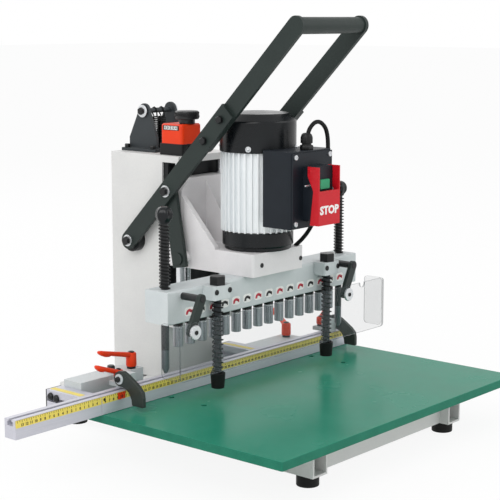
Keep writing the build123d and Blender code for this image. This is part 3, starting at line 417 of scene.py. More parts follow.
class Stock:
    """Plain mesh work in millimetres, from which the pieces are made."""

    @staticmethod
    def mesh(name: str, bm: Loose) -> Mesh:
        """Turns loose geometry into mesh data and frees it.

        Args:
            name: the mesh's name.
            bm: the geometry.

        Returns:
            The mesh.
        """
        mesh = bpy.data.meshes.new(name)
        bm.to_mesh(mesh)
        bm.free()
        return mesh

    @staticmethod
    def box(bm: Loose, low: Point, high: Point, soft: float = 0.0) -> None:
        """Adds a block, with its edges rounded where soft is given.

        Args:
            bm: the geometry to add to.
            low: lowest corner.
            high: highest corner.
            soft: radius of the edges.
        """
        made = bmesh.ops.create_cube(bm, size=1.0)["verts"]
        span = [b - a for a, b in zip(low, high)]
        for v in made:
            v.co = Vector([a + (c + 0.5) * s for a, c, s in zip(low, v.co, span)])
        if soft:
            edges = list({e for v in made for e in v.link_edges})
            bmesh.ops.bevel(bm, geom=edges, offset=soft, segments=3, profile=0.5, affect="EDGES")

    @staticmethod
    def drum(radius: float, tall: float, cut: float) -> list[Pair]:
        """The outline of a plain drum with its upper edge cut off at a slant."""
        return [(0, 0), (radius, 0), (radius, tall - cut), (radius - cut, tall), (0, tall)]

    @staticmethod
    def turned(bm: Loose, outline: Sequence[Pair], foot: Point, axis: Point = UP, steps: int = 32,
               phase: float = 0.0) -> None:
        """Adds a lathe form whose outline runs from foot along axis.

        Args:
            bm: the geometry to add to.
            outline: radius and height of each ring, closed on the axis at both ends.
            foot: where height 0 is.
            axis: direction of the heights.
            steps: faces round the form.
            phase: turn of the first face, in degrees.
        """
        turn = Vector(UP).rotation_difference(Vector(axis)).to_matrix()
        around = [(math.cos(a), math.sin(a)) for a in angles(steps, phase)]
        Stock.skin(bm, [[Vector(foot) + turn @ Vector((radius * c, radius * s, height))
                         for c, s in (around if radius else around[:1])] for radius, height in outline])

    @staticmethod
    def skin(bm: Loose, spots: Sequence[Sequence[Sequence[float]]]) -> None:
        """Adds a form that joins rings of points with faces and closes its open ends.

        Args:
            bm: the geometry to add to.
            spots: points of each ring; a single point is a tip.
        """
        rings = [[bm.verts.new(spot) for spot in ring] for ring in spots]
        for a, b in zip(rings, rings[1:]):
            for k in range(max(len(a), len(b))):
                corners = [a[k % len(a)], a[(k + 1) % len(a)], b[(k + 1) % len(b)], b[k % len(b)]]
                face = [v for i, v in enumerate(corners) if v not in corners[:i]]
                if len(face) > 2:
                    bm.faces.new(face)
        for end in (rings[0], rings[-1]):
            if len(end) > 2:
                bm.faces.new(end)

    @staticmethod
    def plate(bm: Loose, outline: Sequence[Pair], low: float, high: float) -> None:
        """Adds a flat form, its outline in X and Y, from one height to another."""
        Stock.skin(bm, [[(x, y, z) for x, y in outline] for z in (low, high)])


class Bench:
    """Turns meshes into pieces, dresses CAD nodes and hands everything to the frame."""

    FLAT = 0.004

    def __init__(self, frame: dict, palette: Palette) -> None:
        """Keeps the loaded frame and the finishes."""
        self.nodes = frame["nodes"]
        self.palette = palette

    @staticmethod
    def show(name: str, data: bpy.types.ID) -> Object:
        """Puts an object with some data into the scene.

        Args:
            name: the object's name.
            data: a mesh, curve, lamp or camera.

        Returns:
            The object, at the origin.
        """
        made = bpy.data.objects.new(name, data)
        bpy.context.scene.collection.objects.link(made)
        return made

    @staticmethod
    def seen_mesh(made: Object) -> Mesh:
        """A new mesh of what an object shows after its modifiers."""
        return bpy.data.meshes.new_from_object(made.evaluated_get(bpy.context.evaluated_depsgraph_get()))

    def settle(self, made: Object) -> None:
        """Turns an object with modifiers into a plain mesh.

        Args:
            made: the object.
        """
        mesh, old = self.seen_mesh(made), made.data
        made.modifiers.clear()
        made.data = mesh
        mesh.name = made.name
        bpy.data.meshes.remove(old)

    @staticmethod
    def smooth(mesh: Mesh) -> None:
        """Shades a mesh smooth, with its sharp edges kept."""
        mesh.polygons.foreach_set("use_smooth", [True] * len(mesh.polygons))
        mesh.set_sharp_from_angle(angle=SHARP)

    def piece(self, name: str, bm: Loose, material: Material, body: str, slot: str, *nodes: str) -> None:
        """Makes a piece from geometry in millimetres and hands it over.

        Args:
            name: the piece's name.
            bm: the geometry, which is freed.
            material: its finish.
            body: the body that carries it.
            slot: the record's material slot.
            nodes: CAD nodes that it stands for.
        """
        bmesh.ops.recalc_face_normals(bm, faces=bm.faces)
        mesh = Stock.mesh(name, bm)
        mesh.transform(Matrix.Scale(MM, 4))
        mesh.materials.append(material)
        self.smooth(mesh)
        self.hand_over(self.show(name, mesh), body, slot, *nodes)

    @staticmethod
    def hand_over(made: Object, body: str, slot: str, *nodes: str) -> None:
        """Lets a piece ride on a body, in place of nodes where some are named.

        Args:
            made: the piece.
            body: the body that carries it.
            slot: the record's material slot; not used.
            nodes: CAD nodes that it stands for.
        """
        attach(made, body)
        if nodes:
            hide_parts(*nodes)
        LOG.info("%s on %s, %d faces", made.name, body, len(made.data.polygons))

    def refine(self, node: str, body: str, slot: str, material: Material, edge: float,
               reshape: Optional[Callable[[Vector], Vector]] = None) -> None:
        """Shows a CAD node as a merged copy with softened edges.

        Args:
            node: the CAD node.
            body: the body that carries it.
            slot: the record's material slot.
            material: its finish.
            edge: width of the softened edges in millimetres, 0 for none.
            reshape: gives the shown place, in millimetres, of a point of the solid.
        """
        bm = bmesh.new()
        bm.from_mesh(self.nodes[node].data)
        bmesh.ops.remove_doubles(bm, verts=bm.verts, dist=SAME_POINT)
        if reshape:
            for v in bm.verts:
                v.co = reshape(v.co / MM) * MM
        bmesh.ops.dissolve_limit(bm, angle_limit=self.FLAT, verts=bm.verts, edges=bm.edges)
        mesh = Stock.mesh(f"{node}_shown", bm)
        mesh.materials.clear()
        mesh.materials.append(material)
        made = self.show(f"{node}_shown", mesh)
        self.smooth(mesh)
        if edge:
            cut = made.modifiers.new("soft_edges", "BEVEL")
            cut.width = edge * MM
            cut.segments = 2
            cut.limit_method = "ANGLE"
            cut.angle_limit = SHARP
            cut.use_clamp_overlap = True
            made.modifiers.new("joined_points", "WELD").merge_threshold = SAME_POINT
            made.modifiers.new("flat_faces", "WEIGHTED_NORMAL").keep_sharp = True
            self.settle(made)
        self.hand_over(made, body, slot, node)


class Rows:
    """Geometry Nodes trees for what repeats or follows a path: screws, marks, ticks, ribs and coils."""

    # Faces round and outline of the lathe shapes, one unit across and one unit deep.
    LATHE = {
        Head.HEX: (6, ((0, 0), (0.48, 0), (0.5, 0.04), (0.5, 0.84), (0.42, 1), (0, 1))),
        Head.SOCKET: (18, ((0, 0), (0.5, 0), (0.5, 0.82), (0.43, 1), (0.27, 1), (0.25, 0.5), (0, 0.46))),
        Head.DOME: (18, ((0, 0), (0.5, 0), (0.48, 0.4), (0.36, 0.78), (0.18, 0.96), (0, 1))),
        Head.WASHER: (28, ((0, 0), (0.49, 0), (0.5, 0.15), (0.5, 0.8), (0.47, 1), (0, 1)))}
    PAD = ((-0.5, -0.32), (-0.32, -0.5), (0.32, -0.5), (0.5, -0.32),
           (0.5, 0.32), (0.32, 0.5), (-0.32, 0.5), (-0.5, 0.32))
    RING_RADII = (0.48, 0.17)
    RING_ARC = tuple(math.radians(25 + 155 * k / 8) for k in range(9))
    RING_FOOT = [(-0.5, -0.12), (-0.18, -0.12), (-0.22, 0.0)]
    RING_POINT = ((0.08, 0.2), (0.5, 0.36), (0.5, -0.12))
    COIL_STEPS = 16
    WIRE_STEPS = 8

    def __init__(self, bench: Bench) -> None:
        """Builds both trees and the small shapes that the rows repeat.

        Args:
            bench: makes the pieces.
        """
        self.bench = bench
        self.row_tree = self._row_tree()
        self.coil_tree = self._coil_tree()
        self.shapes = {head: self._shape(head) for head in Head}

    @staticmethod
    def _close(tree: Tree, source: Sockets, sink: Node, instances: dict) -> None:
        """Sets instances on the points, and ends the tree in Realize Instances and Set Material.

        Args:
            tree: the tree.
            source: its inputs, Geometry and Finish among them.
            sink: its output node.
            instances: what stands on each point, and how.
        """
        spread = add_node(tree, "GeometryNodeInstanceOnPoints", {"Points": source["Geometry"], **instances})
        real = add_node(tree, "GeometryNodeRealizeInstances", {"Geometry": spread["Instances"]})
        dress = add_node(tree, "GeometryNodeSetMaterial", {
            "Geometry": real["Geometry"], "Material": source["Finish"]})
        feed(tree, sink, {"Geometry": dress["Geometry"]})

    def _row_tree(self) -> Tree:
        """Builds the tree that sets a shape on every point, turned to its facing and scaled to its sizes.

        Returns:
            The geometry tree.
        """
        tree, source, sink = start_tree(
            "set_out_row", "Geometry",
            {"Geometry": "Geometry", "Item": "Object", "Wide": "Float", "Tall": "Float", "Depth": "Float",
             "Finish": "Material"}, {"Geometry": "Geometry"})
        item = add_node(tree, "GeometryNodeObjectInfo", {"Object": source["Item"]})
        facing = add_node(tree, "GeometryNodeInputNamedAttribute", {"Name": "facing"},
                          data_type="FLOAT_VECTOR")
        turn = add_node(tree, "FunctionNodeAlignRotationToVector", {"Vector": facing["Attribute"]}, axis="Z")
        size = add_node(tree, "ShaderNodeCombineXYZ", {
            "X": source["Wide"], "Y": source["Tall"], "Z": source["Depth"]})
        self._close(tree, source, sink, {
            "Instance": item["Geometry"], "Rotation": turn["Rotation"], "Scale": size[0]})
        return tree

    def _coil_tree(self) -> Tree:
        """Builds the tree that winds a round-wire coil on every point.

        Returns:
            The geometry tree.
        """
        tree, source, sink = start_tree(
            "wound_coil", "Geometry",
            {"Geometry": "Geometry", "Radius": "Float", "Height": "Float", "Turns": "Float", "Wire": "Float",
             "Finish": "Material"}, {"Geometry": "Geometry"})
        spiral = add_node(tree, "GeometryNodeCurveSpiral", {
            "Resolution": self.COIL_STEPS, "Rotations": source["Turns"], "Start Radius": source["Radius"],
            "End Radius": source["Radius"], "Height": source["Height"]})
        section = add_node(tree, "GeometryNodeCurvePrimitiveCircle", {
            "Resolution": self.WIRE_STEPS, "Radius": source["Wire"]})
        wire = add_node(tree, "GeometryNodeCurveToMesh", {
            "Curve": spiral["Curve"], "Profile Curve": section["Curve"], "Fill Caps": True})
        self._close(tree, source, sink, {"Instance": wire["Mesh"]})
        return tree

    def _shape(self, head: Head) -> Object:
        """Makes one small shape, one unit across and one unit deep, standing on its foot.

        Args:
            head: which shape.

        Returns:
            An object outside the scene that the rows repeat.
        """
        bm = bmesh.new()
        if head in self.LATHE:
            steps, outline = self.LATHE[head]
            Stock.turned(bm, outline, (0, 0, 0), steps=steps)
        elif head is Head.ARROW:
            out, back = ([(r * math.cos(a), r * math.sin(a)) for a in self.RING_ARC] for r in self.RING_RADII)
            Stock.plate(bm, out + self.RING_FOOT + back[::-1], 0, 1)
            Stock.plate(bm, self.RING_POINT, 0, 1)
        elif head is Head.PAD:
            Stock.plate(bm, self.PAD, 0, 1)
        else:
            Stock.box(bm, (-0.5, -0.5, 0), (0.5, 0.5, 1))
        bmesh.ops.recalc_face_normals(bm, faces=bm.faces)
        mesh = Stock.mesh(f"shape_{head.value}", bm)
        self.bench.smooth(mesh)
        return bpy.data.objects.new(f"shape_{head.value}", mesh)

    def _run(self, name: str, tree: Tree, spots: Sequence[Point], facing: Sequence[Point],
             values: dict) -> Object:
        """Runs a tree on points and keeps the result as a plain mesh.

        Args:
            name: the piece's name.
            tree: the geometry tree.
            spots: the points, in millimetres.
            facing: the direction of each point.
            values: inputs by name.

        Returns:
            The piece, not yet on a body.
        """
        mesh = bpy.data.meshes.new(name)
        mesh.from_pydata([metres(spot) for spot in spots], [], [])
        attribute = mesh.attributes.new("facing", "FLOAT_VECTOR", "POINT")
        attribute.data.foreach_set("vector", [float(c) for way in facing for c in way])
        made = self.bench.show(name, mesh)
        modifier = made.modifiers.new("row", "NODES")
        modifier.node_group = tree
        for socket in tree.interface.items_tree:
            if socket.in_out == "INPUT" and socket.name in values:
                modifier[socket.identifier] = values[socket.name]
        self.bench.settle(made)
        self.bench.smooth(made.data)
        return made

    def row(self, name: str, head: Head, size: Point, spots: Sequence[Point], facing: Sequence[Point],
            material: Material, body: str, slot: str) -> None:
        """Sets a shape out on points and hands the row over.

        Args:
            name: the piece's name.
            head: the shape.
            size: its width, height and depth in millimetres.
            spots: where each stands.
            facing: one direction for all, or one for each.
            material: the finish.
            body: the body that carries it.
            slot: the record's material slot.
        """
        ways = facing if len(facing) == len(spots) else [facing[0]] * len(spots)
        wide, tall, deep = metres(size)
        made = self._run(name, self.row_tree, spots, ways, {
            "Item": self.shapes[head], "Wide": wide, "Tall": tall, "Depth": deep, "Finish": material})
        self.bench.hand_over(made, body, slot)

    def coil(self, name: str, spots: Sequence[Point], height: float, winding: Winding,
             material: Material) -> Object:
        """Winds a coil that stands on each point, and gives the piece, not yet on a body."""
        return self._run(name, self.coil_tree, spots, [UP] * len(spots), {
            "Radius": winding.radius * MM, "Height": height * MM, "Turns": winding.turns,
            "Wire": winding.wire / 2 * MM, "Finish": material})


class Lettering:
    """Figures and words as flat, slightly raised meshes."""

    # Share of the type's size that a capital is tall.
    CAPITAL = 0.7

    def __init__(self, bench: Bench) -> None:
        """Keeps the bench that makes the pieces."""
        self.bench = bench

    def mesh(self, words: str, tall: float, depth: float, fat: float) -> Mesh:
        """Sets a word in the built-in face, centred, in millimetres.

        Args:
            words: the text.
            tall: height of its capitals.
            depth: how far it stands off.
            fat: how far its strokes are widened.

        Returns:
            A mesh in X and Y.
        """
        curve = bpy.data.curves.new("words", "FONT")
        curve.body = words
        curve.align_x = "CENTER"
        curve.align_y = "CENTER"
        curve.size = tall / self.CAPITAL
        curve.extrude = depth / 2
        curve.offset = fat
        curve.resolution_u = 2
        made = self.bench.show("words", curve)
        mesh = self.bench.seen_mesh(made)
        bpy.data.objects.remove(made)
        return mesh

    def set_words(self, name: str, lines: Sequence[tuple[str, float, Matrix]], depth: float, fat: float,
                  material: Material, body: str, slot: str) -> None:
        """Places several words as one piece and hands it over.

        Args:
            name: the piece's name.
            lines: text, height and place of each.
            depth: how far they stand off.
            fat: how far the strokes are widened.
            material: the finish.
            body: the body that carries them.
            slot: the record's material slot.
        """
        bm = bmesh.new()
        for words, tall, place in lines:
            mesh = self.mesh(words, tall, depth, fat)
            mesh.transform(place)
            bm.from_mesh(mesh)
            bpy.data.meshes.remove(mesh)
        self.bench.piece(name, bm, material, body, slot)


@dataclass
class Studio:
    """Camera at the photograph's angle, pale floor, white surroundings and soft lamps, in metres."""

    camera_at: Point = (-2.0121, -1.7034, 0.790)
    tilt: float = 80.51
    heading: float = -49.42
    lens: float = 100.3
    sensor: float = 36.0
    clip: Pair = (0.05, 60.0)
    ambient: float = 0.74
    floor_half: float = 30.0
    floor_grey: float = 0.94
    floor_rough: float = 0.8
    floor_glow: float = 0.9
    aim: Point = (0.0, 0.0, 0.35)
    # Name, place, side and power in watts.
    lamps: tuple[tuple[str, Point, float, float], ...] = (
        ("key_lamp", (-3.1, -0.9, 2.9), 2.4, 58.0), ("fill_lamp", (1.8, -3.2, 2.2), 2.6, 27.0),
        ("back_lamp", (0.6, 3.2, 2.6), 2.6, 24.0))

    def build(self) -> None:
        """Sets up everything that isn't part of the machine."""
        self.camera()
        self.world()
        self.floor()
        for name, at, size, power in self.lamps:
            data = bpy.data.lights.new(name, "AREA")
            data.size = size
            data.energy = power
            made = Bench.show(name, data)
            made.location = at
            made.rotation_euler = (Vector(self.aim) - Vector(at)).to_track_quat("-Z", "Y").to_euler()
        bpy.context.scene.view_settings.view_transform = "Standard"

    def camera(self) -> None:
        """Places the camera."""
        data = bpy.data.cameras.new("photo_camera")
        data.sensor_width = self.sensor
        data.lens = self.lens
        data.clip_start, data.clip_end = self.clip
        made = Bench.show("photo_camera", data)
        made.location = self.camera_at
        made.rotation_euler = (math.radians(self.tilt), 0.0, math.radians(self.heading))
        bpy.context.scene.camera = made

    @staticmethod
    def seen(tree: Tree) -> Socket:
        """Builds a mask for what the camera sees, also in reflections and through glass.

        Args:
            tree: the node tree of the world or floor.

        Returns:
            The mask's socket.
        """
        path = add_node(tree, "ShaderNodeLightPath", {})
        mask = path["Is Camera Ray"]
        for label in ("Is Glossy Ray", "Is Transmission Ray"):
            mask = add_node(tree, "ShaderNodeMath", {0: mask, 1: path[label]}, operation="MAXIMUM")[0]
        return mask

    def world(self) -> None:
        """Makes the surroundings white for the camera and an even soft light for the machine."""
        world = bpy.data.worlds.new("white_room")
        world.use_nodes = True
        tree = world.node_tree
        tree.nodes.clear()
        sky = [add_node(tree, "ShaderNodeBackground", {"Color": (1, 1, 1, 1), "Strength": strength})[0]
               for strength in (self.ambient, 1.0)]
        shown = add_node(tree, "ShaderNodeMixShader", {0: self.seen(tree), 1: sky[0], 2: sky[1]})
        add_node(tree, "ShaderNodeOutputWorld", {"Surface": shown[0]})
        bpy.context.scene.world = world

    def floor(self) -> None:
        """Lays a pale floor that keeps the machine's shadow."""
        bm = bmesh.new()
        bmesh.ops.create_grid(bm, x_segments=1, y_segments=1, size=self.floor_half)
        mesh = Stock.mesh("floor", bm)
        material, tree, shader = new_material("pale_floor")
        grey = self.floor_grey
        feed(tree, shader, {"Base Color": (grey, grey, grey, 1), "Roughness": self.floor_rough})
        glow = add_node(tree, "ShaderNodeEmission", {"Strength": 1.0})
        share = add_node(tree, "ShaderNodeMath", {0: self.seen(tree), 1: self.floor_glow},
                         operation="MULTIPLY")
        shown = add_node(tree, "ShaderNodeMixShader", {0: share[0], 1: shader.outputs[0], 2: glow[0]})
        feed(tree, tree.nodes["Material Output"], {"Surface": shown[0]})
        mesh.materials.append(material)
        Bench.show("floor", mesh)


@dataclass
class Part:
    """What every sub-assembly builds with."""

    bench: Bench
    rows: Rows
    letters: Lettering

    def paint(self, name: str, finish: Finish, *zones: Zone) -> Material:
        """The material with a finish, under a name of its own."""
        return self.bench.palette.get(name, finish, *zones)


@dataclass
class Cables(Part):
    """The loop on the switch box, its gland, and the lead down to the motor platform."""

    thick: float = 8.0
    loop: tuple[Point, ...] = ((4, -114, 549), (4, -114, 578), (20.8, -117.04, 599), (39.7, -120.46, 599),
                               (56.5, -123.5, 578), (56.5, -123.5, 549))
    lead: tuple[Point, ...] = ((36, -104, 407), (44, -86, 382), (66, -40, 355))
    loop_long: float = 0.1255
    lead_long: float = 0.0883
    gland_nut: tuple[Pair, ...] = ((0, 0), (12.1, 0), (12.5, 0.6), (12.5, 7.6), (11.6, 8.8), (0, 8.8))
    gland_cap: tuple[Pair, ...] = ((0, 8), (9, 8), (9, 12), (10.6, 12.4), (10.9, 13.4), (10.9, 24),
                                   (9.8, 27.6), (7.4, 30.2), (5.2, 31), (4.4, 31), (0, 31))
    gland_rib: tuple[Pair, ...] = ((0, 0), (1.5, 0), (1.6, 0.6), (1.6, 10.4), (0.7, 12.6), (0, 12.8))
    gland_sunk: float = 0.2
    rib_high: float = 12.4
    rib_ring: float = 10.1
    ribs: int = 10

    def route(self, name: str, points: Sequence[Point], material: Material) -> Object:
        """Lays one cable on a smooth line.

        Args:
            name: the piece's name.
            points: control points of its line.
            material: the sheath.

        Returns:
            The cable's curve.
        """
        data = bpy.data.curves.new(name, "CURVE")
        data.dimensions = "3D"
        data.bevel_depth = self.thick / 2 * MM
        data.bevel_resolution = 4
        data.resolution_u = 16
        data.use_fill_caps = True
        spline = data.splines.new("NURBS")
        spline.points.add(len(points) - 1)
        for spot, place in zip(spline.points, points):
            spot.co = (*metres(place), 1.0)
        spline.order_u = 3
        spline.use_endpoint_u = True
        data.materials.append(material)
        return self.bench.show(name, data)

    def build(self) -> None:
        """Lays both cables and sets the gland."""
        sheath = self.paint("cable_sheath", Tone.RUBBER)
        for name, points, long in (("cable_loop", self.loop, self.loop_long),
                                   ("cable_lead", self.lead, self.lead_long)):
            made = self.route(name, points, sheath)
            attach(made, "head")
            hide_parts("cables")
            metres(points[0])
            LOG.info("%s on head, %.0f mm long", name, long / MM)
        self.gland()

    def gland(self) -> None:
        """Makes the two-part gland at the loop's foot."""
        x, y, z = self.loop[0]
        bm = bmesh.new()
        for outline, steps in ((self.gland_nut, 6), (self.gland_cap, 30)):
            Stock.turned(bm, outline, (x, y, z - self.gland_sunk), steps=steps)
        for a in angles(self.ribs):
            foot = (x + self.rib_ring * math.cos(a), y + self.rib_ring * math.sin(a), z + self.rib_high)
            Stock.turned(bm, self.gland_rib, foot, steps=8)
        plastic = self.paint("gland_plastic", Tone.BLACK_PLASTIC)
        self.bench.piece("cable_gland", bm, plastic, "head", "black_plastic", "cables")


@dataclass
class Castings(Part):
    """CAD nodes shown with softened edges and their own finishes."""

    box_face: float = -28.0
    guard_studs: tuple[float, ...] = (-241.0, 207.0)
    stud_high: float = 300.0
    stud_radius: float = 6.6
    collar_radii: Pair = (7.0, 10.5)
    link_foot: Pair = (120.0, 331.0)
    link_lean: Pair = (0.1762, 0.9844)
    link_half: float = 17.0
    cap_high: float = 326.0
    # Levels in metres at which a node's finish changes.
    table_top: float = 0.0952
    indicator_foot: float = 0.5484
    dial_foot: float = 0.5864
    stop_plate: float = 0.3202
    stud_root: float = 0.0285
    rod_foot: float = 0.1466
    rod_head: float = 0.3112
    arm_face: float = 0.0821
    rail_cap: float = 0.1530

    def slim_studs(self, place: Vector) -> Vector:
        """Draws the guard studs' collars in to the studs' own width.

        Args:
            place: a point of the spindle box.

        Returns:
            Where the point is shown.
        """
        inner, outer = self.collar_radii
        for x in self.guard_studs:
            out = Vector((place.x - x, 0.0, place.z - self.stud_high))
            if place.y < self.box_face + 0.01 and inner < out.length < outer:
                return place + out * (self.stud_radius / out.length - 1)
        return place

    def square_foot(self, place: Vector) -> Vector:
        """Turns the round lower end of a link into a square one.

        Args:
            place: a point of the links.

        Returns:
            Where the point is shown.
        """
        y, z = place.y - self.link_foot[0], place.z - self.link_foot[1]
        down = -(y * self.link_lean[0] + z * self.link_lean[1])
        across = y * self.link_lean[1] - z * self.link_lean[0]
        if down < 0.1 or math.hypot(down, across) < self.link_half - 1:
            return place
        grow = self.link_half / max(abs(down), abs(across)) - 1
        return place + Vector((0.0, y, z)) * grow

    def low_cap(self, place: Vector) -> Vector:
        """Keeps the round cap of a hold-down inside the six-sided one that is shown."""
        return Vector((place.x, place.y, min(place.z, self.cap_high)))

    def build(self) -> None:
        """Refines each rigid node."""
        get = self.paint
        light = get("light_paint", Tone.LIGHT_PAINT)
        lever = get("lever_paint", Tone.LEVER_PAINT)
        zinc = get("zinc_plate", Tone.ZINC)
        case = get("case_paint", Tone.CASE)
        slate = get("slate_plastic", Tone.SLATE)
        laminate = get("table_laminate", Tone.LAMINATE_EDGE, Zone(Tone.LAMINATE, UP, self.table_top, 0.0006))
        indicator = get("indicator_case", Tone.BLACK_PLASTIC, Zone(Tone.ORANGE, UP, self.indicator_foot))
        knob = get("depth_screw_finish", Tone.ZINC, Zone(Tone.BLACK_PLASTIC, UP, self.dial_foot))
        gear_case = get("gear_case_paint", Tone.CASE, Zone(Tone.BLACKED, FRONT, self.stud_root))
        hold = get("hold_down_finish", Tone.RUBBER, Zone(Tone.DARK_PAINT, UP, self.rod_foot),
                   Zone(Tone.BLACK_PLASTIC, UP, self.rod_head))
        arm = get("guard_arm_finish", Tone.LEVER_PAINT, Zone(Tone.CHROME, FRONT, self.arm_face))
        bar = get("fence_alloy", Tone.EXTRUSION, Zone(Tone.BLACK_PLASTIC, (0, 1, 0), self.rail_cap))
        stops = [get(f"stop_arm_{side.label}", Tone.STOP_ARM, Zone(Tone.ZINC, side.out, self.stop_plate))
                 for side in Side]
        clear = self.bench.palette.clear_sheet("Y")
        shown = (
            ("base_frame", "frame", "light_grey_paint", light, 1.5),
            ("rubber_feet", "frame", "rubber_black", get("foot_rubber", Tone.RUBBER), 1.2),
            ("table", "frame", "green_laminate", laminate, 0.8),
            ("column", "frame", "light_grey_paint", light, 1.5),
            ("way_plate", "frame", "black_steel", get("blacked_steel", Tone.BLACKED), 0.6),
            ("guide_bars", "frame", "bright_bar", get("guide_bar_chrome", Tone.CHROME), 0.0),
            ("spring_bracket", "frame", "dark_grey_paint", get("dark_paint", Tone.DARK_PAINT), 0.8),
            ("position_indicator", "frame", "orange_plastic", indicator, 1.4),
            ("rail_saddles", "frame", "case_grey", case, 0.9),
            ("depth_screw", "depth_screw", "black_plastic", knob, 0.9),
            ("stop_nut", "stop_nut", "black_steel", zinc, 0.6),
            ("head_casting", "head", "cast_grey", get("cast_paint", Tone.CAST), 2.6),
            ("motor_body", "head", "motor_alloy", get("motor_fins", Tone.ALLOY), 0.3),
            ("motor_covers", "head", "black_steel", get("gloss_black", Tone.GLOSS_BLACK), 1.6),
            ("switch_box", "head", "slate_plastic", slate, 2.0),
            ("switch_cover", "head", "slate_plastic", slate, 1.2),
            ("start_button", "start_button", "green_plastic", get("green_button", Tone.GREEN), 2.2),
            ("stop_paddle", "stop_paddle", "red_plastic", get("red_paddle", Tone.RED), 0.9),
            ("hold_down_blocks", "head", "case_grey", case, 1.0),
            ("guard_arm_left", "guard_arm_left", "dark_grey_paint", arm, 0.7),
            ("guard_arm_right", "guard_arm_right", "dark_grey_paint", arm, 0.7),
            ("guard_panel", "guard_panel", "clear_plastic", clear, 0.5),
            ("lever_bars", "lever", "dark_grey_paint", lever, 1.0),
            ("lever_pins", "lever", "bright_bar", zinc, 0.4),
            ("link_pins", "head", "bright_bar", lever, 0.4),
            ("fence", "fence", "extrusion", bar, 0.35),
            ("stop_bases", "fence", "case_grey", case, 0.8),
            ("stop_arm_left", "stop_arm_left", "dark_grey_paint", stops[0], 0.8),
            ("stop_arm_right", "stop_arm_right", "dark_grey_paint", stops[1], 0.8),
            ("spindle_box", "head", "case_grey", gear_case, 1.4, self.slim_studs),
            ("links", "links", "dark_grey_paint", lever, 1.0, self.square_foot),
            ("hold_down_left", "hold_down_left", "bright_bar", hold, 0.8, self.low_cap),
            ("hold_down_right", "hold_down_right", "bright_bar", hold, 0.8, self.low_cap))
        for row in shown:
            self.bench.refine(*row)


@dataclass
class HoldDownCaps(Part):
    """Six-sided black caps on top of the hold-down rods."""

    foot: Point = (163.0, -42.0, 311.4)
    corner: float = 15.8
    tall: float = 16.0
    cut: float = 1.5
    turn: float = 40.0

    def build(self) -> None:
        """Makes both caps, a corner of each towards the front left."""
        black = self.paint("cap_steel", Tone.SCREW_BLACK)
        x, y, z = self.foot
        outline = Stock.drum(self.corner, self.tall, self.cut)
        for side in Side:
            bm = bmesh.new()
            Stock.turned(bm, outline, (side.value * x, y, z), steps=6, phase=self.turn)
            node = f"hold_down_{side.label}"
            self.bench.piece(f"hold_down_cap_{side.label}", bm, black, node, "black_steel", node)


@dataclass
class GuardWings(Part):
    """The two ends of the guard's sheet, bent back beside the spindle box."""

    left: float = -303.0
    right: float = 304.0
    thick: float = 2.6
    bend: float = -78.0
    rear: float = -34.0
    low: float = 162.0
    high: float = 262.0
    corner: float = 6.0

    def build(self) -> None:
        """Cuts both wings and hangs them on the panel."""
        bend, rear, c = self.bend, self.rear, self.corner
        edge = [(bend, c), (bend + c, 0.0), (rear - c, 0.0), (rear - 0.3 * c, 0.3 * c), (rear, c)]
        lower = [(y, self.low + rise) for y, rise in edge]
        outline = lower + [(y, self.high - rise) for y, rise in edge[::-1]]
        bm = bmesh.new()
        Stock.plate(bm, outline, self.left, self.left + self.thick)
        Stock.plate(bm, outline, self.right - self.thick, self.right)
        for v in bm.verts:
            v.co = Vector((v.co.z, v.co.x, v.co.y))
        clear = self.bench.palette.clear_sheet("X")
        self.bench.piece("guard_wings", bm, clear, "guard_panel", "clear_plastic")


@dataclass
class PivotBosses(Part):
    """Black bosses between the column and the lower ends of the lever bars."""

    side: float = 80.0
    out: float = 96.6
    radius: float = 23.0
    cut: float = 1.2
    pivot: Pair = (247.5, 355.0)

    def build(self) -> None:
        """Turns both bosses."""
        outline = Stock.drum(self.radius, self.out - self.side, self.cut)
        bm = bmesh.new()
        for side in Side:
            Stock.turned(bm, outline, (side.value * self.side, *self.pivot), axis=side.out, steps=40)
        black = self.paint("blacked_steel", Tone.BLACKED)
        self.bench.piece("pivot_bosses", bm, black, "frame", "black_steel")


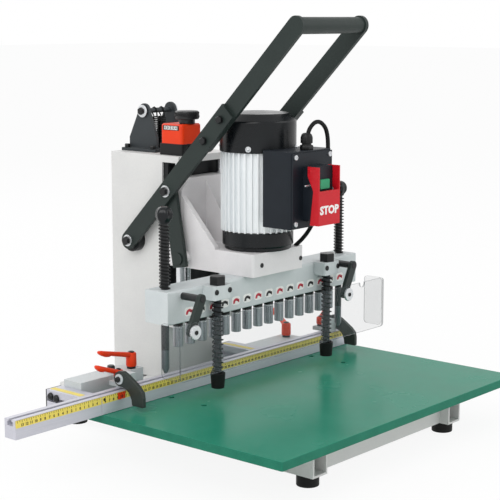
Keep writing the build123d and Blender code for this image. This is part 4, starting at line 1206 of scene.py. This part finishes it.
@dataclass
class Springs(Part):
    """Coils of the index pins, the hold-downs and the head's return."""

    index_x: float = 257.0
    index_span: Pair = (312.0, 429.0)
    index_coil: Winding = Winding(9.3, 19, 2.4)
    hold_x: float = 163.0
    hold_y: float = -42.0
    hold_span: Pair = (147.4, 284.0)
    hold_coil: Winding = Winding(9.4, 16, 2.8)
    return_x: float = 10.0
    return_y: float = 264.0
    return_span: Pair = (452.0, 593.0)
    return_coil: Winding = Winding(7.7, 37, 2.8, (4.0, 6.0))
    pin_z: float = 606.0
    # Y and Z of a hook's wire from the middle of the pin that it hangs on.
    hook: tuple[Pair, ...] = ((-7.6, -14.0), (-7.4, -10.0), (-6.8, -5.0), (-6.2, 0.0), (-4.4, 4.5),
                              (0.0, 6.5), (4.4, 4.5), (6.2, 0.0), (5.0, -6.0), (1.6, -11.0))

    def build(self) -> None:
        """Winds every spring."""
        for side in Side:
            x, label = side.value, side.label
            self.wind(f"index_coil_{label}", [(x * self.index_x, 0.0)], self.index_span, self.index_coil,
                      "head", f"index_pin_{label}", f"index_spring_{label}")
            self.wind(f"hold_down_coil_{label}", [(x * self.hold_x, self.hold_y)], self.hold_span,
                      self.hold_coil, f"hold_down_{label}", "head", "hold_down_springs")
        pair = [(side.value * self.return_x, self.return_y) for side in Side]
        self.wind("return_coils", pair, self.return_span, self.return_coil, "head", "frame", "return_springs")
        self.hooks()

    def wind(self, name: str, axes: Sequence[Pair], span: Pair, winding: Winding, foot: str, top: str,
             node: str) -> None:
        """Winds coils from a foot up to a top, and logs the bodies named for the two ends.

        Args:
            name: the piece's name.
            axes: X and Y of each coil's axis.
            span: heights of the foot and the top.
            winding: the coil.
            foot: body at the foot.
            top: body at the top.
            node: the CAD node that they stand for.
        """
        low, high = span
        steel = self.paint("spring_wire", Tone.SPRING)
        made = self.rows.coil(name, [(x, y, low) for x, y in axes], high - low, winding, steel)
        x, y = (sum(c) / len(axes) for c in zip(*axes))
        start, end = (x, y, low + winding.still[0]), (x, y, high - winding.still[1])
        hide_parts(node)
        metres(start)
        metres(end)
        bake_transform(made)
        LOG.info("%s between %s and %s", made.name, foot, top)

    def hooks(self) -> None:
        """Bends the wire hooks that hang the return springs from the bracket's pin."""
        aside = Vector((1, 0, 0))
        radius = self.return_coil.wire / 2
        bm = bmesh.new()
        for side in Side:
            x = side.value * self.return_x
            path = [Vector((x, self.return_y + y, self.pin_z + z)) for y, z in self.hook]
            rings = []
            for before, spot, after in zip(path[:1] + path, path, path[1:] + path[-1:]):
                up = (after - before).normalized().cross(aside)
                rings.append([spot + radius * (aside * math.cos(t) + up * math.sin(t)) for t in angles(8)])
            Stock.skin(bm, rings)
        steel = self.paint("spring_wire", Tone.SPRING)
        self.bench.piece("return_hooks", bm, steel, "frame", "spring_black", "return_springs")


@dataclass
class SpindleRow(Part):
    """Fifteen round chucks under the spindle box, and the rotation marks above them."""

    count: int = 15
    pitch: float = 32.0
    chuck_radius: float = 9.2
    foot: float = 201.0
    top: float = 250.8
    bore: float = 5.0
    bore_deep: float = 28.0
    edge: float = 0.8
    fine_edge: float = 0.5
    groove: tuple[float, ...] = (36.6, 37.1, 37.5, 38.0)
    grub: tuple[Pair, ...] = ((0, 0), (1.6, 0), (1.6, 1.2), (1.2, 1.5), (0, 1.5))
    grub_high: float = 12.0
    # Levels in metres at which the chucks' bright collar begins, and the black band above it that runs up to
    # the box.
    collar: float = 0.2364
    joint: float = 0.2384
    face: float = -28.0
    mark_high: float = 269.0
    mark_drop: float = 3.0
    pad_size: Point = (23.0, 16.0, 0.25)
    mark_size: Point = (17.5, 16.0, 0.3)

    def build(self) -> None:
        """Turns the chucks, then prints a half-ring arrow on a pale pad above each, red and black in turn."""
        steel = self.paint("chuck_steel", Tone.CHUCK, Zone(Tone.ZINC, UP, self.collar),
                           Zone(Tone.RUBBER, UP, self.joint))
        r, edge, fine, tall = self.chuck_radius, self.edge, self.fine_edge, self.top - self.foot
        outline = [(0, self.bore_deep), (self.bore, self.bore_deep), (self.bore, edge), (self.bore + edge, 0),
                   (r - edge, 0), (r, edge),
                   *zip((r, r - fine, r - fine, r), self.groove),
                   (r, tall - fine), (r - fine, tall), (0, tall)]
        middles = [(k - (self.count - 1) / 2) * self.pitch for k in range(self.count)]
        for k, x in enumerate(middles, 1):
            bm = bmesh.new()
            Stock.turned(bm, outline, (x, 0, self.foot))
            Stock.turned(bm, self.grub, (x, -r + 0.9, self.foot + self.grub_high), axis=FRONT, steps=10)
            node = f"spindle_{k:02d}"
            self.bench.piece(f"{node}_shown", bm, steel, node, "chuck_steel", node)
        spots = [(x, self.face, self.mark_high) for x in middles]
        self.rows.row("mark_pads", Head.PAD, self.pad_size, spots, [FRONT],
                      self.paint("print_white", Tone.PRINT_WHITE), "head", "case_grey")
        lifted = [(x, y - 0.2, z - self.mark_drop) for x, y, z in spots]
        for name, first, tone in (("marks_red", 0, Tone.INK_RED), ("marks_black", 1, Tone.INK)):
            self.rows.row(name, Head.ARROW, self.mark_size, lifted[first::2], [FRONT], self.paint(name, tone),
                          "head", "case_grey")


@dataclass
class IndexPins(Part):
    """The two index pins: rod with a pointed tip and a lobed knob."""

    middle: float = 257.0
    rod_radius: float = 7.0
    tip_radius: float = 3.0
    tip: float = 157.0
    shoulder: float = 166.0
    # Level in metres above which the rod is blacked.
    blacked: float = 0.2
    knob_foot: float = 430.0
    lobes: int = 6
    knob_steps: int = 72
    # Radius, height and depth of the lobes at each ring of the knob.
    knob: tuple[Point, ...] = (
        (9.0, 0.0, 0.0), (9.8, 0.6, 0.0), (10.2, 2.6, 0.01), (11.2, 4.6, 0.03), (13.2, 7.4, 0.055),
        (14.6, 11.0, 0.07), (15.0, 15.5, 0.07), (14.6, 20.0, 0.07), (13.0, 24.2, 0.06), (10.2, 27.6, 0.04),
        (7.4, 29.3, 0.01), (5.6, 29.8, 0.0), (4.6, 29.4, 0.0))

    def build(self) -> None:
        """Turns both pins and moulds their knobs."""
        rod = self.paint("index_rod", Tone.STEEL_ROD, Zone(Tone.BLACKED, UP, self.blacked))
        grip = self.paint("index_knob", Tone.GLOSS_BLACK)
        long = self.knob_foot - self.tip + 0.5
        outline = [(0, 0), (self.tip_radius - 0.6, 0), (self.tip_radius, 0.8),
                   (self.rod_radius, self.shoulder - self.tip), (self.rod_radius, long), (0, long)]
        for side in Side:
            node, x = f"index_pin_{side.label}", side.value * self.middle
            bm = bmesh.new()
            Stock.turned(bm, outline, (x, 0, self.tip))
            self.bench.piece(f"{node}_rod", bm, rod, node, "bright_bar", node)
            rings = []
            for radius, height, wave in self.knob:
                ring = [(radius * (1 + wave * math.cos(self.lobes * t)), t) for t in angles(self.knob_steps)]
                z = self.knob_foot + height
                rings.append([(x + r * math.cos(t), r * math.sin(t), z) for r, t in ring])
            bm = bmesh.new()
            Stock.skin(bm, rings)
            self.bench.piece(f"{node}_knob", bm, grip, node, "black_plastic", node)


@dataclass
class Fasteners(Part):
    """Screws and bolts, one row for each body, head and finish."""

    SLOTS = {Tone.SCREW_BLACK: "black_steel", Tone.ZINC: "bright_bar", Tone.RED: "red_plastic"}

    pivot: Pair = (247.5, 355.0)
    lever_turn: float = 45.45
    elbow: Pair = (143.25, 460.9)
    lever_face: float = 107.5
    bar_face: float = 105.0
    laps: Pair = (292.0, 350.0)
    bracket_pin: Pair = (264.0, 606.0)
    bracket_foot: Point = (47.2, 234.0, 532.0)
    bracket_pitch: float = 70.0
    block: Point = (163.0, -56.0, 300.5)
    block_half: float = 17.8
    cover_face: float = -132.0
    cover_x: Pair = (-50.5, 50.5)
    cover_z: Pair = (417.0, 539.0)
    fan_radius: float = 73.0
    fan_high: float = 549.0
    fan_turn: float = 26.0
    stop_bolt: Point = (322.8, 54.0, 149.0)
    studs: Pair = (-241.0, 207.0)
    stud_high: float = 300.0
    stud_face: float = -77.0
    pin_aside: float = 27.0
    pin_high: float = 246.0
    washer_face: float = -82.25
    bolt_face: float = -86.5

    def along(self, distance: float) -> Pair:
        """Y and Z of a point on the lever at a distance from its pivot."""
        a = math.radians(self.lever_turn)
        return self.pivot[0] - distance * math.cos(a), self.pivot[1] + distance * math.sin(a)

    @staticmethod
    def both(x: float, *spots: Pair) -> list[tuple[Point, Point]]:
        """The same spots on both sides, facing outwards."""
        return [((s.value * x, *spot), s.out) for spot in spots for s in Side]

    def put(self, name: str, body: str, head: Head, across: float, deep: float,
            places: Sequence[tuple[Point, Point]], tone: Finish = Tone.SCREW_BLACK) -> None:
        """Sets out one row of screws by foot and facing; the finish also tells the material slot."""
        material = self.paint(f"screw_{tone.tint[0]}_{tone.tint[2]}", tone)
        self.rows.row(name, head, (across, across, deep), *zip(*places), material, body, self.SLOTS[tone])

    def arm_rows(self, side: Side, stud: float) -> list[tuple]:
        """Lists the rows of one side's stop arm and guard arm.

        Args:
            side: the side.
            stud: X of the stud that the guard arm turns on.

        Returns:
            What put takes for each row.
        """
        label = side.label
        x, y, z = self.stop_bolt
        arm, pin, high = f"guard_arm_{label}", stud - self.pin_aside, self.pin_high
        return [
            (f"stop_bolt_{label}", f"stop_arm_{label}", Head.HEX, 11, 5,
             [((side.value * x, y, z), side.out)]),
            (f"guard_washer_{label}", arm, Head.WASHER, 26, 4.4, [((pin, self.washer_face, high), FRONT)],
             Tone.ZINC),
            (f"guard_bolt_{label}", arm, Head.SOCKET, 8, 1.6, [((pin, self.bolt_face, high), FRONT)]),
            (f"guard_stud_cap_{label}", arm, Head.SOCKET, 12, 0.6,
             [((stud, self.stud_face, self.stud_high), FRONT)])]

    def build(self) -> None:
        """Sets out every row."""
        left, zinc = Side.LEFT.out, Tone.ZINC
        pivots = self.both(self.lever_face, self.pivot, self.elbow)
        laps = self.both(self.bar_face, *map(self.along, self.laps))
        x, y, z = self.bracket_foot
        feet = [((s.value * x, y + far, z), UP) for s in Side for far in (0, self.bracket_pitch)]
        platform = [((-50, -52, 332), FRONT), ((66, -52, 331), FRONT)]
        x, y, z = self.block
        blocks = [((s.value * x + t.value * self.block_half, y, z), FRONT) for s in Side for t in Side]
        covers = [((x, self.cover_face, z), FRONT) for x in self.cover_x for z in self.cover_z]
        ways = [(math.cos(a), math.sin(a), 0.0) for a in angles(4, self.fan_turn)]
        fan = [((self.fan_radius * way[0], self.fan_radius * way[1], self.fan_high), way) for way in ways]
        arms = [row for side, stud in zip(Side, self.studs) for row in self.arm_rows(side, stud)]
        slots = [((-406, 142, 119.5), left), ((-406, 127, 118), left)]
        rows = (
            ("lever_pivot_bolts", "lever", Head.HEX, 17, 7.5, pivots),
            ("lap_bolts", "lever", Head.HEX, 15, 7, laps),
            ("bracket_washers", "frame", Head.WASHER, 25, 2.5, self.both(43.0, self.bracket_pin), zinc),
            ("bracket_bolts", "frame", Head.HEX, 15, 6.5, self.both(45.4, self.bracket_pin)),
            ("bracket_foot_bolts", "frame", Head.HEX, 11, 7.5, feet),
            ("platform_screws", "head", Head.SOCKET, 9, 1.2, platform),
            ("hold_block_screws", "head", Head.SOCKET, 10, 1.6, blocks),
            ("cover_screws", "head", Head.SOCKET, 9.5, 2.8, covers, zinc),
            ("fan_cover_washers", "head", Head.WASHER, 11, 1.4, fan, zinc),
            ("fan_cover_screws", "head", Head.DOME, 7, 4.2, fan, zinc),
            ("saddle_bolt", "frame", Head.HEX, 15, 13, [((-278, 120, 143), UP)]),
            *arms,
            ("rail_slot_screws", "fence", Head.DOME, 14, 6, slots),
            ("fence_joint_screw", "fence", Head.DOME, 7, 1.6, [((-369.5, 42.7, 124), FRONT)]),
            ("paddle_hinge_caps", "stop_paddle", Head.DOME, 8, 0.8, self.both(31.7, (-151, 514)), Tone.RED),
            ("switch_pin_ends", "head", Head.WASHER, 3.6, 13, self.both(28.2, (-147.6, 488)), zinc))
        for row in rows:
            self.put(*row)


@dataclass
class FenceScale(Part):
    """Yellow scales on the fence and its rails, with ticks and figures."""

    extension: Pair = (-571.0, -377.0)
    fence: Pair = (-374.0, 344.0)
    face: float = 42.1
    low: float = 116.2
    high: float = 129.5
    rails: Pair = (-400.0, 64.0)
    rail_wide: float = 12.0
    rail_span: Pair = (72.0, 151.0)
    rail_top: float = 130.5
    red_at: float = -327.6
    every: float = 10.0
    red_reads: int = 10
    metre: int = 100
    tick_wide: float = 0.75
    # Name, shift and height of each kind of tick.
    tick_rows: tuple[tuple[str, float, float], ...] = (("ticks_long", 0.0, 4.2), ("ticks_short", 5.0, 2.6))
    figure_tall: float = 4.6
    red_tall: float = 5.4
    red_lift: float = 0.8
    pad_size: Point = (19.0, 12.4, 0.12)

    def build(self) -> None:
        """Lays the strips, then the ticks and figures on them."""
        bm = bmesh.new()
        for a, b in (self.fence, self.extension):
            Stock.box(bm, (a, self.face - 0.45, self.low + 0.3), (b, self.face + 0.95, self.high - 0.3))
        near, far = self.rail_span
        for x in self.rails:
            Stock.box(bm, (x, near, self.rail_top - 0.05), (x + self.rail_wide, far, self.rail_top + 0.35))
        self.bench.piece("scale_strips", bm, self.paint("scale_yellow", Tone.SCALE), "fence", "extrusion")
        self.ticks()
        self.figures()

    def steps(self, margin: float, shift: float = 0.0) -> list[tuple[int, float]]:
        """Counts the steps of both scales from the red figure.

        Args:
            margin: what stays free at the ends of a scale.
            shift: how far the row is moved along.

        Returns:
            Number and X of each step.
        """
        found = []
        zero = self.red_at + shift
        for low, high in (self.extension, self.fence):
            first = math.ceil((low + margin - zero) / self.every)
            last = math.floor((high - margin - zero) / self.every)
            found += [(k, zero + self.every * k) for k in range(first, last + 1)]
        return found

    def ticks(self) -> None:
        """Prints the ticks: long ones each 10 mm, short ones each 5 mm."""
        ink = self.paint("scale_ink", Tone.INK)
        for name, shift, tall in self.tick_rows:
            spots = [(x, self.face - 0.4, self.high - 0.4 - tall / 2) for _, x in self.steps(2.0, shift)]
            size = (self.tick_wide, tall, 0.2)
            self.rows.row(name, Head.BAR, size, spots, [FRONT], ink, "fence", "extrusion")

    def figures(self) -> None:
        """Sets a figure each 10 mm, on a red pad at each metre."""
        y, z = self.face - 0.42, self.low + 4.2
        pads, lines = [], []
        for k, x in self.steps(6.0):
            tall, lift = self.figure_tall, 0.0
            if k % self.metre == 0:
                pads.append((x, y, (self.low + self.high) / 2))
                tall, lift = self.red_tall, self.red_lift
            reading = str(abs(k + self.red_reads) % self.metre)
            lines.append((reading, tall, Matrix.Translation((x, y - 0.2, z + lift)) @ UPRIGHT))
        red, ink = self.paint("scale_red", Tone.ORANGE), self.paint("scale_ink", Tone.INK)
        self.rows.row("scale_pads", Head.BAR, self.pad_size, pads, [FRONT], red, "fence", "extrusion")
        self.letters.set_words("scale_figures", lines, 0.2, 0.2, ink, "fence", "extrusion")


@dataclass
class SwitchGear(Part):
    """Lettering of the stop paddle."""

    face: float = -171.0
    word_high: float = 442.0
    word_tall: float = 14.4
    word_stretch: float = 1.12
    word_deep: float = 0.5
    word_fat: float = 0.95

    def build(self) -> None:
        """Prints the word on the paddle."""
        wide = Matrix.Diagonal((self.word_stretch, 1.0, 1.0, 1.0))
        place = Matrix.Translation((0, self.face, self.word_high)) @ UPRIGHT @ wide
        self.letters.set_words("stop_word", [("STOP", self.word_tall, place)], self.word_deep, self.word_fat,
                               self.paint("print_white", Tone.PRINT_WHITE), "stop_paddle", "red_plastic")


@dataclass
class DepthStop(Part):
    """Counter window of the position indicator and the knob's grips."""

    axis: Pair = (-38.0, 148.0)
    side_face: float = -66.5
    window_y: float = 164.0
    window_z: float = 579.0
    window_half: float = 21.0
    window_rise: float = 4.6
    reading: str = "00254"
    digit_tall: float = 5.0
    drum: float = 7.2
    drum_rise: float = 3.5
    drum_gap: float = 0.4
    dial_radius: float = 23.0
    dial_low: float = 595.5
    dial_high: float = 611.5
    grips: int = 36

    def build(self) -> None:
        """Adds the counter and the grips."""
        x, y, z = self.side_face, self.window_y, self.window_z
        half, rise = self.window_half, self.window_rise
        bm = bmesh.new()
        Stock.box(bm, (x - 0.8, y - half, z - rise), (x + 1, y + half, z + rise), 0.6)
        plastic = self.paint("counter_frame", Tone.BLACK_PLASTIC)
        self.bench.piece("counter_frame", bm, plastic, "frame", "orange_plastic")
        turn = Matrix.Rotation(math.radians(-90), 4, "Z") @ UPRIGHT
        gap, rise, lines = self.drum_gap, self.drum_rise, []
        bm = bmesh.new()
        for k, digit in enumerate(self.reading):
            a = y + (k - len(self.reading) / 2) * self.drum
            Stock.box(bm, (x - 1.1, a + gap, z - rise), (x, a + self.drum - gap, z + rise), 0.3)
            place = Matrix.Translation((x - 1.15, y + (2 - k) * self.drum, z))
            lines.append((digit, self.digit_tall, place @ turn))
        white = self.paint("counter_drum", Tone.PRINT_WHITE)
        self.bench.piece("counter_drums", bm, white, "frame", "orange_plastic")
        self.letters.set_words("counter_digits", lines, 0.2, 0.3, self.paint("scale_ink", Tone.INK), "frame",
                               "orange_plastic")
        ways = [(math.cos(a), math.sin(a), 0.0) for a in angles(self.grips)]
        r, middle = self.dial_radius - 0.3, (self.dial_low + self.dial_high) / 2
        spots = [(self.axis[0] + r * c, self.axis[1] + r * s, middle) for c, s, _ in ways]
        self.rows.row("dial_grips", Head.BAR, (2.2, self.dial_high - self.dial_low - 3, 1.0), spots, ways,
                      self.paint("dial_plastic", Tone.BLACK_PLASTIC), "depth_screw", "black_plastic")


@dataclass(frozen=True)
class LeverSpec:
    """One clamp lever: node, place of its hub's foot, direction and sizes."""

    node: str
    hub: Point
    heading: float
    hub_wide: float
    hub_tall: float
    arm_long: float
    rise: float


@dataclass
class ClampLevers(Part):
    """Four moulded orange clamp levers with their black screws."""

    levers: tuple[LeverSpec, ...] = (
        LeverSpec("saddle_lever_left", (-233, 112.5, 143.3), 180, 20, 30, 80, 18),
        LeverSpec("saddle_lever_right", (240, 124, 118.3), 60, 20, 30, 80, 18),
        LeverSpec("stop_lever_left", (-299.7, 78, 138.8), 180, 18, 20, 54, 19),
        LeverSpec("stop_lever_right", (299.7, 78, 138.8), 20, 18, 20, 54, 19))
    # Share of the arm's length, half width, half thickness and lift at each section of an arm.
    sections: tuple[tuple[float, ...], ...] = (
        (0.0, 6.4, 5.2, -0.4), (0.12, 6.3, 5.1, -0.3), (0.22, 5.9, 4.9, -0.1), (0.4, 5.5, 4.6, 0.0),
        (0.6, 5.5, 4.5, 0.0), (0.68, 5.6, 4.3, 0.2), (0.74, 6.0, 5.4, -0.9), (0.84, 6.2, 5.7, -1.2),
        (0.93, 6.0, 5.1, -0.5), (1.0, 5.0, 3.9, 0.2), (1.04, 3.4, 2.4, 0.5), (1.055, 1.2, 0.9, 0.5))
    section_steps: int = 16
    # Below 1, a section is fuller at its corners than an ellipse.
    fullness: float = 0.7
    arm_drop: float = 5.0

    def build(self) -> None:
        """Makes each lever and its metal parts."""
        for spec in self.levers:
            self.lever(spec)

    def lever(self, spec: LeverSpec) -> None:
        """Lofts one lever's hub and arm, then its collar and screw.

        Args:
            spec: the lever's place and sizes.
        """
        x, y, z = spec.hub
        r, tall = spec.hub_wide / 2, spec.hub_tall
        bm = bmesh.new()
        Stock.turned(bm, [(0, 4), (r - 1.2, 4), (r - 0.4, 5), (r, 8), (r - 0.3, tall - 2.5),
                          (r - 1.6, tall - 0.5), (r - 3, tall), (0, tall)], spec.hub, steps=28)
        a = math.radians(spec.heading)
        ahead, aside = Vector((math.cos(a), math.sin(a), 0)), Vector((-math.sin(a), math.cos(a), 0))
        start = Vector((x, y, z + tall - self.arm_drop))
        full = [[math.copysign(abs(c) ** self.fullness, c) for c in (math.cos(t), math.sin(t))]
                for t in angles(self.section_steps)]
        rings = []
        for share, wide, thick, lift in self.sections:
            centre = start + ahead * (spec.arm_long * share) + Vector((0, 0, spec.rise * share + lift))
            rings.append([centre + aside * (wide * c) + Vector((0, 0, thick * s)) for c, s in full])
        Stock.skin(bm, rings)
        orange = self.paint("orange_lever", Tone.ORANGE)
        self.bench.piece(f"{spec.node}_grip", bm, orange, spec.node, "orange_plastic", spec.node)
        bm = bmesh.new()
        Stock.turned(bm, [(0, 0), (r - 1.6, 0), (r - 1.6, 4.4), (0, 4.4)], spec.hub, steps=24)
        Stock.turned(bm, [(0, 0), (r - 4.2, 0), (r - 4.2, 1.6), (r - 5, 2.2), (2.4, 2.2), (2.2, 0.8),
                          (0, 0.8)], (x, y, z + tall - 0.2), steps=18)
        black = self.paint("clamp_screw", Tone.SCREW_BLACK)
        self.bench.piece(f"{spec.node}_screw", bm, black, spec.node, "black_steel")


def build(frame: dict) -> None:
    """Builds every sub-assembly in order.
    """
    bench = Bench(frame, Palette())
    Studio().build()
    tools = bench, Rows(bench), Lettering(bench)
    for kind in (Cables, Castings, HoldDownCaps, GuardWings, PivotBosses, Springs, SpindleRow, IndexPins,
                 Fasteners, FenceScale, SwitchGear, DepthStop, ClampLevers):
        LOG.info("building %s", kind.__name__)
        kind(*tools).build()


def main() -> None:
    """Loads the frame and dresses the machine."""
    logging.basicConfig(level=logging.INFO, format="%(message)s")
    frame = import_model()
    build(frame)


if __name__ == "__main__":
    main()
